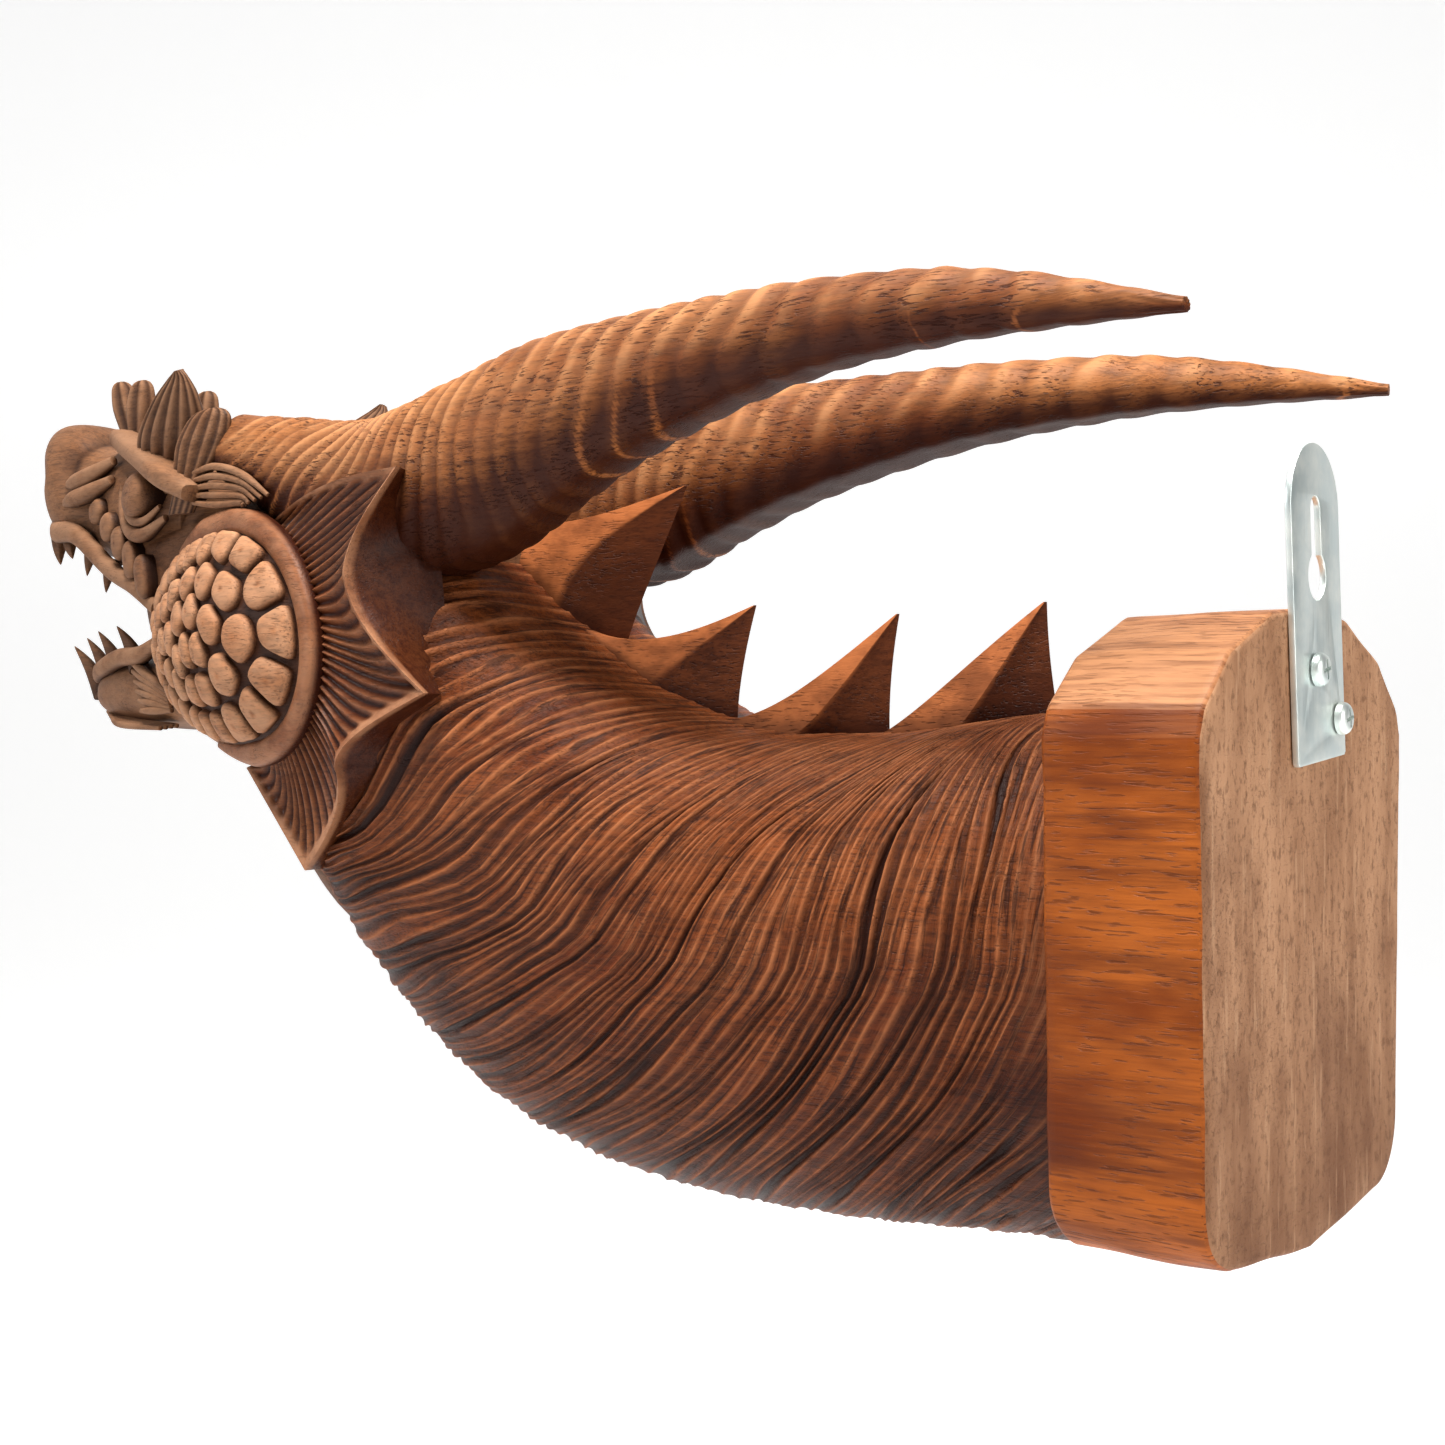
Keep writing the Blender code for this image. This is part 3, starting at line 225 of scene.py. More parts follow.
class Recipe:
    """A material that is being written."""

    def __init__(self, name):
        self.material = bpy.data.materials.new(name)
        self.material.use_nodes = True
        self.tree = self.material.node_tree
        self.shader = self.tree.nodes["Principled BSDF"]

    def node(self, kind, settings, values):
        made = self.tree.nodes.new(kind)
        for key, value in settings.items():
            setattr(made, key, value)
        for key, value in values.items():
            self.feed(made.inputs[key], value)
        return Step(self, made)

    def feed(self, socket, value):
        if isinstance(value, Amount):
            self.tree.links.new(value.socket, socket)
        else:
            socket.default_value = value

    def mix(self, share, first, second, blend="MIX"):
        made = self.node(
            "ShaderNodeMix",
            {"data_type": "RGBA", "blend_type": blend},
            {0: share, 6: first, 7: second},
        )
        return made.amount(2)

    def stretched(self, stretch):
        """The place on the object, with each axis scaled."""
        spot = self.node("ShaderNodeTexCoord", {}, {}).amount("Object")
        made = self.node("ShaderNodeVectorMath", {"operation": "MULTIPLY"}, {0: spot, 1: stretch})
        return made.amount(0)

    def noise(self, stretch, scale, detail=2.0, rough=0.5):
        made = self.node(
            "ShaderNodeTexNoise",
            {},
            {"Vector": self.stretched(stretch), "Scale": scale, "Detail": detail,
             "Roughness": rough},
        )
        return made.amount(0)

    def mark(self, name):
        """A value kept on the mesh's points."""
        made = self.node("ShaderNodeAttribute", {"attribute_name": name}, {})
        return made.amount("Fac")

    def finish(self, colour, rough, height, depth):
        self.feed(self.shader.inputs["Base Color"], colour)
        self.feed(self.shader.inputs["Roughness"], rough)
        bump = self.node("ShaderNodeBump", {}, {"Height": height, "Distance": depth})
        self.feed(self.shader.inputs["Normal"], bump.amount("Normal"))
        return self.material


# %% [markdown]
# ## Stained wood
# The carver stained the block red-brown and waxed it. Stain stays dark in the gouges and is
# rubbed off the high spots, which look paler and a little grey. Short dark pores run along the
# grain, from the wall to the nose. Two values kept on each mesh drive this. The first is 1 at the
# bottom of a cut and darkens the colour with stain there, and it also carries painted shade: in
# crevices, under the forms and where parts meet. The second is 1 where hands and cloths have
# rubbed, and it also carries a painted highlight on upward-facing tops and crests. The hair's
# mesh keeps two more, strand and way, so that the finest lines can run along the strands and not
# along the grain.

# %% Stained wood
GRAIN = (1.0, 0.14, 1.0)
WAX_SHINE = 0.12
PORE_DEPTH = 0.28 * MM


def wood_finish(name, stain, pale, deep, rubbed_and_lit, pores=1.0, gloss=0.46, hairs=False):
    """Red-brown stained hardwood, from its four colours."""
    wood = Recipe(name)
    # stain in the cuts, plus painted shade in crevices, under the forms and where parts meet
    stain_and_shade = wood.mark("stain_and_shade").clipped()
    # wear on rubbed high spots, plus a painted highlight on upward-facing tops and crests
    wear_and_highlight = wood.mark("wear_and_highlight").clipped()
    clouds = wood.noise((1, 0.4, 1), 26, 3.0, 0.55)
    streaks = wood.noise((1, 0.05, 1), 620, 4.0, 0.6)
    fibres = wood.noise(GRAIN, 1900, 2.0, 0.6)
    dashes = wood.noise((1, 0.11, 1), 1750, 2.0, 0.5)
    dash = dashes.between(0.56, 0.66) * wood.noise((1, 1, 1), 70, 2.0).between(0.38, 0.62)
    body = wood.mix(clouds.between(0.36, 0.64), stain + (1,), pale + (1,))
    body = wood.mix(streaks.between(0.38, 0.7) * 0.6, body, deep + (1,))
    body = wood.mix(fibres.between(0.5, 0.68) * 0.5, body, deep + (1,))
    patchy = wood.noise((1, 0.6, 1), 75, 4.0, 0.65).between(0.36, 0.6)
    # the pale rubbed colour: wear, and a painted highlight where the tops face the light
    body = wood.mix((wear_and_highlight * (patchy * 0.6 + 0.4)).clipped(), body, rubbed_and_lit + (1,))
    height = fibres * 0.35 + streaks * 0.3 - dash * (0.9 * pores)
    if hairs:
        across = wood.mark("strand") * 2.6
        flow = wood.node("ShaderNodeCombineXYZ", {}, {0: across, 1: wood.mark("way") * 11})
        line = wood.node(
            "ShaderNodeTexNoise", {},
            {"Vector": flow.amount(0), "Scale": 1.0, "Detail": 4.0, "Roughness": 0.6},
        ).amount(0)
        body = wood.mix(line.between(0.5, 0.64) * 0.75, body, deep + (1,))
        body = wood.mix((1 - line).between(0.56, 0.7) * 0.4, body, rubbed_and_lit + (1,))
        height = height - line * 3.2
    # dark stain in the cuts, and painted shade in crevices, undersides and joins
    body = wood.mix((stain_and_shade * 0.95).clipped(), body, deep + (1,))
    body = wood.mix(dash * (0.62 * pores), body, deep + (1,))
    rough = wear_and_highlight * 0.16 + gloss + fibres * 0.12
    wood.shader.inputs["Specular IOR Level"].default_value = WAX_SHINE
    return wood.finish(body, rough, height, PORE_DEPTH)


HAIR_WOOD = wood_finish("hair wood", (0.12, 0.021, 0.003), (0.22, 0.052, 0.01),
                        (0.01, 0.0012, 0.0003), (0.31, 0.105, 0.038), 0.6, 0.42, True)
HORN_WOOD = wood_finish("horn wood", (0.14, 0.033, 0.007), (0.31, 0.108, 0.03),
                        (0.026, 0.004, 0.001), (0.46, 0.215, 0.09), 1.3)
HEAD_WOOD = wood_finish("head wood", (0.11, 0.04, 0.015), (0.18, 0.075, 0.031),
                        (0.012, 0.003, 0.001), (0.24, 0.125, 0.068), 0.35)
SCALE_WOOD = wood_finish("scale wood", (0.27, 0.1, 0.038), (0.44, 0.2, 0.092),
                         (0.012, 0.002, 0.001), (0.42, 0.23, 0.13), 0.6)
FRILL_WOOD = wood_finish("frill wood", (0.12, 0.028, 0.007), (0.22, 0.07, 0.022),
                         (0.012, 0.001, 0.0005), (0.33, 0.155, 0.08), 0.4, 0.32)
FIN_WOOD = wood_finish("fin wood", (0.07, 0.015, 0.004), (0.14, 0.036, 0.01),
                       (0.014, 0.002, 0.001), (0.38, 0.115, 0.034), 0.8)
print("wood finishes made")

# %% [markdown]
# ## The plaque's wood
# The plaque's sides are cut along the grain and glow orange, while its back shows the ends of the
# fibres: matt, pale, and mottled by old stain that ran down it. One material can do both, because
# the way a face looks tells which cut it is. Faces that look up are painted paler, a painted
# highlight from the lamp above, and the back is painted darker towards the bottom, painted shade
# where that light falls off.


# %% Plaque wood
def plaque_finish():
    """Orange long grain on the sides and pale, mottled end grain on the back; upward faces carry a
    painted highlight and the lower back painted shade.
    """
    wood = Recipe("plaque wood")
    facing = wood.node("ShaderNodeNewGeometry", {}, {}).amount("True Normal")
    parts = wood.node("ShaderNodeSeparateXYZ", {}, {0: facing})
    back = parts.amount("Y").between(0.6, 0.9)
    # faces that look up, painted paler below as a painted highlight from the lamp above
    top = parts.amount("Z").between(0.25, 0.8)
    stain_and_shade = wood.mark("stain_and_shade").clipped()
    clouds = wood.noise((1, 0.35, 1), 30, 4.0, 0.6)
    streaks = wood.noise((1, 0.05, 1), 560, 5.0, 0.65)
    dashes = wood.noise((1, 0.09, 1), 1500, 2.0, 0.5)
    dash = dashes.between(0.57, 0.67) * clouds.between(0.3, 0.55)
    side = wood.mix(clouds.between(0.36, 0.62), (0.14, 0.026, 0.002, 1), (0.36, 0.09, 0.011, 1))
    # painted highlight: the upward faces of the sides are painted paler
    side = wood.mix(top, side, (0.4, 0.18, 0.08, 1))
    bands = wood.noise((1, 0.07, 1), 120, 5.0, 0.62)
    side = wood.mix(bands.between(0.46, 0.66) * 0.6, side, (0.07, 0.013, 0.003, 1))
    side = wood.mix(streaks.between(0.4, 0.7) * 0.5, side, (0.07, 0.014, 0.004, 1))
    side = wood.mix(dash * 0.5, side, (0.04, 0.008, 0.003, 1))
    runs = wood.noise((1, 1, 0.3), 62, 4.0, 0.6)
    fleck = wood.noise((1, 1, 0.7), 420, 4.0, 0.7)
    ends = wood.mix(runs.between(0.32, 0.66), (0.27, 0.13, 0.065, 1), (0.43, 0.23, 0.125, 1))
    blotch = wood.noise((1, 1, 0.55), 24, 3.0, 0.6).between(0.5, 0.7)
    ends = wood.mix(blotch * 0.7, ends, (0.14, 0.055, 0.025, 1))
    spot = wood.node("ShaderNodeTexCoord", {}, {}).amount("Object")
    # painted shade: the back is painted darker towards the bottom, where the light from above falls
    # off
    high = wood.node("ShaderNodeSeparateXYZ", {}, {0: spot}).amount("Z")
    low = 1 - (high + runs * 0.08).between(-0.05, 0.05)
    ends = wood.mix(low * 0.62, ends, (0.15, 0.062, 0.028, 1))
    ends = wood.mix(fleck.between(0.5, 0.64) * 0.6, ends, (0.12, 0.05, 0.022, 1))
    scratch = wood.noise((1, 1, 0.12), 330, 3.0, 0.6)
    ends = wood.mix(scratch.between(0.56, 0.68) * 0.4, ends, (0.52, 0.31, 0.18, 1))
    body = wood.mix(back, side, ends)
    body = wood.mix(stain_and_shade * 0.8, body, (0.06, 0.015, 0.006, 1))
    height = streaks * 0.5 - dash * 0.7 + fleck * 0.25
    wood.shader.inputs["Specular IOR Level"].default_value = WAX_SHINE
    return wood.finish(body, back * 0.2 + 0.5, height, PORE_DEPTH)


PLAQUE_WOOD = plaque_finish()

# %% [markdown]
# ## Zinc plating
# Bright zinc is not a mirror: it is slightly cloudy, bluish, and scratched along its length where
# it was handled. The clouds change its roughness more than its colour.


# %% Zinc
SCRATCH_DEPTH = 0.05 * MM


def zinc_finish():
    """Cloudy, faintly blue zinc plating with fine scratches."""
    metal = Recipe("zinc plating")
    clouds = metal.noise((1, 1, 1), 95, 4.0, 0.6)
    scratches = metal.noise((1, 1, 0.06), 900, 3.0, 0.6)
    colour = metal.mix(clouds.between(0.3, 0.7), (0.62, 0.7, 0.69, 1), (0.8, 0.84, 0.8, 1))
    colour = metal.mix(scratches.between(0.62, 0.8) * 0.4, colour, (0.42, 0.43, 0.4, 1))
    metal.shader.inputs["Metallic"].default_value = 0.85
    return metal.finish(colour, clouds * 0.3 + 0.24, scratches, SCRATCH_DEPTH)


ZINC = zinc_finish()

# %% [markdown]
# ## Reading shapes from short tables
# Each form is known from a few measured sections. A smooth curve through them, the same one that
# shaped the solid, gives every section between, so the fine mesh lies where the solid does.


# %% Tables and points
def read_table(stations, where):
    """Reads a short table at many values at once, with no kink at its stations."""
    table = np.array(sorted(stations), float)
    keys = table[:, 0]
    values = table[:, 1:]
    where = np.clip(np.asarray(where, float), keys[0], keys[-1])
    last = len(keys) - 1
    k = np.clip(np.searchsorted(keys, where, side="right") - 1, 0, last - 1)
    before = np.maximum(k - 1, 0)
    beyond = np.minimum(k + 2, last)
    span = (keys[k + 1] - keys[k])[..., None]
    t = (where - keys[k])[..., None] / span
    slope_in = (values[k + 1] - values[before]) / (keys[k + 1] - keys[before])[..., None] * span
    slope_out = (values[beyond] - values[k]) / (keys[beyond] - keys[k])[..., None] * span
    return (
        values[k] * (2 * t**3 - 3 * t**2 + 1)
        + slope_in * (t**3 - 2 * t**2 + t)
        + values[k + 1] * (3 * t**2 - 2 * t**3)
        + slope_out * (t**3 - t**2)
    )


def soft_step(value, low, high):
    """Runs from 0 to 1 as value goes from low to high."""
    t = np.clip((value - low) / (high - low), 0, 1)
    return t * t * (3 - 2 * t)


def boxy(angle, power):
    """Sine and cosine drawn out towards a box as the power falls below one."""
    s = np.sin(angle)
    c = np.cos(angle)
    return np.sign(s) * np.abs(s) ** power, np.sign(c) * np.abs(c) ** power


def placed(distance, side, height):
    """Points from their distance off the wall, sideways place and height, in mm."""
    distance, side, height = np.broadcast_arrays(distance, side, height)
    return np.stack([side, -distance, height], axis=-1).astype(float)


def path_axes(path):
    """Sideways and upward at each point of a path, square to its run."""
    ahead = np.gradient(path, axis=0)
    sideways = np.cross(ahead, (0, 0, 1))
    sideways /= np.linalg.norm(sideways, axis=1)[:, None]
    upward = np.cross(sideways, ahead)
    upward /= np.linalg.norm(upward, axis=1)[:, None]
    return sideways, upward


# %% [markdown]
# ## Gathering grids into pieces
# Every form here is a grid of points: rings along a horn, locks round a neck, rings up a scale.
# This gatherer takes such grids, skins them, and makes one mesh of them with two values that the
# stain reads: one paints stain and painted shade, the other wear and a painted highlight. No point
# may leave the solid's box, so each is held inside it.


# %% The gatherer
class Carving:
    """Grids of points that become one mesh."""

    def __init__(self):
        self.points = []
        self.quads = []
        self.fans = []
        self.stain_and_shade = []
        self.wear_and_highlight = []
        self.marks = {}
        self.count = 0

    def grid(self, points, stain_and_shade=0.0, wear_and_highlight=0.0, keep=None):
        """Adds a closed grid of rings, with a cap at each end; keep leaves out buried faces."""
        rows, columns = points.shape[:2]
        number = self.count + np.arange(rows * columns).reshape(rows, columns)
        following = np.roll(number, -1, axis=1)
        quads = np.stack(
            [number[:-1], following[:-1], following[1:], number[1:]], axis=-1
        ).reshape(-1, 4)
        if keep is not None:
            kept = keep.reshape(-1)
            quads = quads[kept[quads - self.count].any(axis=1)]
        flat = points.reshape(-1, 3)
        corners = flat[quads - self.count]
        across = np.cross(corners[:, 2] - corners[:, 0], corners[:, 3] - corners[:, 1])
        outward = np.einsum("ij,ij->i", corners.mean(axis=1) - flat.mean(axis=0), across).sum()
        if outward < 0:
            quads = quads[:, ::-1]
        self.quads.append(quads)
        middles = []
        for row, flip in ((0, outward >= 0), (rows - 1, outward < 0)):
            ring = self.count + np.arange(row * columns, (row + 1) * columns)
            centre = self.count + rows * columns + len(middles)
            middles.append(points[row].mean(axis=0))
            pairs = np.stack([ring, np.roll(ring, -1), np.full(columns, centre)], axis=1)
            self.fans.append(pairs[:, ::-1] if flip else pairs)
        self.points += [flat, np.array(middles)]
        for values, kept in ((stain_and_shade, self.stain_and_shade), (wear_and_highlight, self.wear_and_highlight)):
            kept.append(np.broadcast_to(np.asarray(values, float), (rows, columns)).reshape(-1))
            kept.append(np.zeros(len(middles)))
        self.count += rows * columns + len(middles)

    def piece(self, name, node, slot, finish, sharp=None):
        """Makes the mesh, marks its values on it, and puts it in place of a solid."""
        points = np.clip(np.concatenate(self.points) * MM, *np.array(cad_box))
        quads = np.concatenate(self.quads)
        fans = np.concatenate(self.fans)
        mesh = bpy.data.meshes.new(name)
        mesh.vertices.add(len(points))
        mesh.vertices.foreach_set("co", points.reshape(-1))
        mesh.loops.add(quads.size + fans.size)
        corners = np.concatenate([quads.reshape(-1), fans.reshape(-1)]).astype(np.int32)
        mesh.loops.foreach_set("vertex_index", corners)
        mesh.polygons.add(len(quads) + len(fans))
        starts = np.concatenate([
            np.arange(len(quads)) * 4,
            quads.size + np.arange(len(fans)) * 3,
        ]).astype(np.int32)
        mesh.polygons.foreach_set("loop_start", starts)
        mesh.update(calc_edges=True)
        marks = {"stain_and_shade": np.concatenate(self.stain_and_shade), "wear_and_highlight": np.concatenate(self.wear_and_highlight)}
        for key, values in (marks | self.marks).items():
            mark = mesh.attributes.new(key, "FLOAT", "POINT")
            mark.data.foreach_set("value", values.astype(np.float32))
        mesh.validate()
        mesh.shade_smooth()
        if sharp is not None:
            mesh.set_sharp_from_angle(angle=math.radians(sharp))
        made = bpy.data.objects.new(name, mesh)
        bpy.context.scene.collection.objects.link(made)
        mesh.materials.append(finish)
        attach(made, "root")
        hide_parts(node)
        print(name, len(quads) * 2 + len(fans), "triangles")
        return made


def as_wood(carving, name, finish, sharp=None):
    """A region of the carved block."""
    return carving.piece(name, "dragon_carving", "stained_wood", finish, sharp)


# %% [markdown]
# ## The neck and its hair
# The neck is a thick, bent form covered in hair. Each strand leaves the spine, turns forward and
# runs down round the side, so the rows of this mesh follow the strands: one way across the grid
# counts strands, the other runs along them. Between two strands the gouge left a rounded channel
# with a sharp crest on each side. Every few strands a deeper cut parts the locks.
#
# A row of NECK holds a distance off the wall, the top, the bottom, the half width and how boxy the
# upper half is. A row of LOCK_PATHS holds where a strand leaves the spine and how far it has moved
# away from the wall at each of LOCK_TURNS, where 0 is the spine and 1 is the belly.

# %% Neck tables
NECK = (
    (0.0, 48.0, -73.0, 57.0, 0.85),
    (60.0, 49.0, -76.0, 59.0, 0.85),
    (110.0, 44.0, -79.5, 60.0, 0.85),
    (160.0, 47.0, -79.5, 59.0, 0.82),
    (205.0, 68.0, -73.0, 57.0, 0.72),
    (245.0, 97.0, -56.0, 54.0, 0.56),
    (280.0, 104.0, -28.0, 50.0, 0.5),
    (315.0, 104.0, 13.0, 44.0, 0.5),
    (345.0, 102.0, 35.0, 38.0, 0.5),
)
LOCK_TURNS = (0.0, 0.15, 0.3, 0.4, 0.5, 0.6, 0.8, 1.0)
LOCK_PATHS = (
    (-60.0, 0.0, 0.0, 0.0, 1.0, 5.0, 21.0, 58.0, 85.0),
    (54.0, 2.0, 1.0, 0.0, 1.0, 5.0, 22.0, 61.0, 88.0),
    (90.0, -26.0, -13.0, 0.0, 5.0, 13.0, 37.0, 84.0, 112.0),
    (115.0, -38.0, -22.0, 0.0, 11.0, 26.0, 54.0, 101.0, 132.0),
    (150.0, -36.0, -19.0, 0.0, 12.0, 31.0, 64.0, 105.0, 130.0),
    (193.0, -28.0, -15.0, 0.0, 13.0, 37.0, 72.0, 106.0, 122.0),
    (250.0, -20.0, -12.0, 0.0, 10.0, 25.0, 42.0, 62.0, 70.0),
    (296.0, -15.0, -9.0, 0.0, 7.0, 15.0, 24.0, 34.0, 40.0),
)
BELLY = 0.78
BURIED = 22.0
LOCK_GAP = 14.0
STRAND_STEP = 0.5
STRAND_GAP = ((-60.0, 3.5), (54.0, 3.1), (90.0, 2.6), (115.0, 2.6), (150.0, 3.0), (193.0, 3.5),
              (250.0, 4.3), (296.0, 4.5))
SAMPLES = 8
ALONG = 100


# %% Neck
def neck_surface(distance, turn, swell):
    """Points of the neck; turn runs from 0 on the spine to 1 below, negative on the right."""
    top, bottom, half, crown = np.moveaxis(read_table(NECK, distance), -1, 0)
    power = crown + (BELLY - crown) * soft_step(np.abs(turn), 0.38, 0.62)
    wide, up = boxy(np.pi * turn, power)
    lift = 1 + swell / half
    middle = (top + bottom) / 2
    reach = (top - bottom) / 2
    return placed(distance, half * wide * lift, middle + up * reach * lift)


def lowness(way):
    """How far down the neck a turn lies, half by turn and half by height."""
    up = boxy(np.pi * np.asarray(way, float), 0.6)[1]
    return way - 0.5 * up


def lock_distance(start, way):
    """How far off the wall each strand is, at each turn from the spine to the belly."""
    shares = [
        (lowness(key),) + tuple(float(key == other) for other in LOCK_TURNS) for key in LOCK_TURNS
    ]
    return start + read_table(LOCK_PATHS, start[:, 0]) @ read_table(shares, lowness(way[0])).T


def make_neck():
    starts = np.arange(LOCK_PATHS[0][0], LOCK_PATHS[-1][0] + 0.1, STRAND_STEP)
    gaps = read_table(STRAND_GAP, starts)[:, 0]
    counted = np.concatenate([[0], np.cumsum(STRAND_STEP / gaps[:-1])])
    strands = int(counted[-1])
    rows = strands * SAMPLES
    number = np.linspace(0, strands, rows + 1)
    start = np.interp(number, counted, starts)[:, None]
    number = number[:, None]
    turn = (np.arange(ALONG) - ALONG // 2)[None, :] / (ALONG // 2)
    way = np.abs(turn)
    side = np.sign(turn)
    distance = lock_distance(start, way)
    drift = 0.3 * np.sin(start * 0.16 + way * 9 + side) + 0.22 * np.sin(start * 0.37 - way * 17)
    count = number + drift * soft_step(way, 0.03, 0.2)
    which = np.clip(np.floor(count).astype(int) + 2, 0, strands + 3)
    part = count - np.floor(count)
    depth = dice.uniform(0.55, 1.15, strands + 4)
    pace = dice.uniform(3, 9, strands + 4)
    phase = dice.uniform(0, 6.3, strands + 4)
    ends = dice.uniform(0, 1, strands + 4)
    deep = (dice.uniform(0, 1, strands + 4) < 0.3).astype(float)
    channel = 1 - np.abs(2 * part - 1) ** 2.4
    strength = depth[which] * (0.8 + 0.3 * np.sin(way * pace[which] + phase[which]))
    edge = 41 + 26 * ends[which] * soft_step(way, 0.35, 0.75)
    gate = soft_step(distance, edge - 4, edge + 7)
    fade = (0.35 + 0.65 * soft_step(way, 0.1, 0.3)) * (1 - 0.85 * soft_step(way, 0.8, 0.97))
    parting = deep[which] * soft_step(np.sin(way * 5 + phase[which] * 2), -0.1, 0.75)
    lock = 0.5 + 0.5 * np.sin(2 * np.pi * (start - starts[0]) / LOCK_GAP + 2.5 * np.sin(way * 4))
    cut = channel * (1.35 * strength + 0.7 * parting) * gate * fade
    swell = 0.6 - cut - 0.6 * lock * fade * gate
    visible = distance > BURIED
    points = neck_surface(np.maximum(distance, BURIED), turn, swell)
    # stain in the channels and partings, plus painted shade: the lower neck and the lock hollows
    # are painted darker, and the smooth strip next to the plaque is painted dark where the neck
    # meets it
    stain_and_shade = channel**0.9 * (0.75 * strength + 0.35 * parting) * gate * fade
    shade = soft_step(way, 0.48, 0.66) * 0.22 + 0.12 * lock * soft_step(way, 0.4, 0.6)
    stain_and_shade = np.clip(stain_and_shade + shade * channel + 0.5 * (1 - gate) * soft_step(way, 0.2, 0.5), 0, 1)
    # the upper side of the neck and the strand crests get the pale rubbed colour: wear, plus
    # painted sheen and highlight on the tops
    wear_and_sheen_band = soft_step(way, 0.04, 0.14) * (1 - soft_step(way, 0.42, 0.56))
    wear_and_highlight = (0.2 + 0.7 * (1 - channel)) * wear_and_sheen_band * 0.7 + (1 - channel) ** 1.5 * 0.8
    block = Carving()
    block.marks = {
        key: np.append(np.broadcast_to(values, points.shape[:2]).reshape(-1), (0, 0))
        for key, values in (("strand", count), ("way", way))
    }
    block.grid(points, stain_and_shade, wear_and_highlight, keep=visible)
    return as_wood(block, "hair_of_neck", HAIR_WOOD)


make_neck()

# %% [markdown]
# ## The plaque
# A thick block with slanted shoulders, upright sides and round lower corners, sawn and then
# planed by hand. Its outline is drawn once, filled in with points, and stepped back through its
# depth, with a narrow eased edge front and back. A shallow wave keeps the planed faces from
# looking machine-made.

# %% Plaque
PLAQUE_HALF = 63.0
PLAQUE_TOP = 73.0
PLAQUE_DEPTH = 36.0
SHOULDER = (40.0, 26.0)
EASED_EDGE = ((0.0, 1.5), (0.35, 0.5), (1.2, 0.0))
FOOT_TAPER = 3.0
FOOT_SAG = 5.0
CORNER = 17.0


def plaque_outline(step):
    """The outline, as close points (side, height)."""
    shoulder = PLAQUE_TOP - SHOULDER[1]
    right = [
        (PLAQUE_HALF - SHOULDER[0], PLAQUE_TOP - 1.5),
        (PLAQUE_HALF - SHOULDER[0] * 0.4, PLAQUE_TOP - SHOULDER[1] * 0.42),
        (PLAQUE_HALF - 2.5, shoulder + 3.5),
        (PLAQUE_HALF, shoulder - 3.0),
    ]
    middle = (PLAQUE_HALF - FOOT_TAPER - CORNER, -PLAQUE_TOP + FOOT_SAG + CORNER)
    for k in range(13):
        turn = -math.pi / 2 * k / 12
        right.append((middle[0] + CORNER * math.cos(turn), middle[1] + CORNER * math.sin(turn)))
    left = [(-x, z) for x, z in reversed(right)]
    corners = np.array([(0.0, PLAQUE_TOP)] + right + [(0.0, -PLAQUE_TOP)] + left)
    closed = np.vstack([corners, corners[:1]])
    lengths = np.concatenate([[0], np.cumsum(np.linalg.norm(np.diff(closed, axis=0), axis=1))])
    spots = np.linspace(0, lengths[-1], int(lengths[-1] / step), endpoint=False)
    return np.stack([np.interp(spots, lengths, closed[:, i]) for i in (0, 1)], axis=-1)


def make_plaque():
    outline = plaque_outline(1.6)
    ahead = np.roll(outline, -1, axis=0) - np.roll(outline, 1, axis=0)
    outward = np.stack([ahead[:, 1], -ahead[:, 0]], axis=-1)
    outward /= np.linalg.norm(outward, axis=1)[:, None]
    if (outward * outline).sum() < 0:
        outward = -outward
    rows = []
    for share in (0.25, 0.5, 0.75, 0.9):
        rows.append(placed(0.0, outline[:, 0] * share, outline[:, 1] * share))
    between = [(depth, 0.0) for depth in np.linspace(3, PLAQUE_DEPTH - 3, 19)]
    front = [(PLAQUE_DEPTH - depth, inset) for depth, inset in reversed(EASED_EDGE)]
    for depth, inset in [*EASED_EDGE, *between, *front]:
        wave = 0.22 * np.sin(outline[:, 1] * 0.14 + depth * 0.11)
        wave += 0.14 * np.sin(outline[:, 0] * 0.2 + outline[:, 1] * 0.31 - depth * 0.23)
        ring = outline - outward * (inset + 0.3 + wave[:, None] * (0 < depth < PLAQUE_DEPTH))
        rows.append(placed(depth, ring[:, 0], ring[:, 1]))
    block = Carving()
    block.grid(np.array(rows))
    return as_wood(block, "plaque", PLAQUE_WOOD, 50)


make_plaque()

# %% [markdown]
# ## The fins of the spine
# Four fins lean back along the spine. Each is a wedge: a broad smooth face in front, two flat
# sides that meet in a sharp rear edge. Five corners make its section. The points between them
# are filled in, and the section shrinks towards the tip.

# %% Fins
FINS = (
    (64.0, 112.0, 67.0, 77.0, 0.85),
    (113.0, 164.0, 110.0, 75.5, 0.78),
    (163.0, 214.0, 156.5, 79.5, 1.6),
    (204.0, 246.0, 181.0, 114.5, 4.0),
)
FIN_HALF = 8.5
FIN_CREASE = 0.48
FIN_EDGE = 0.75
FIN_SIDES = 50
FIN_WIDTHS = ((-0.35, 1.0), (0.0, 1.0), (0.4, 0.66), (0.75, 0.34), (0.93, 0.15), (1.0, 0.06))


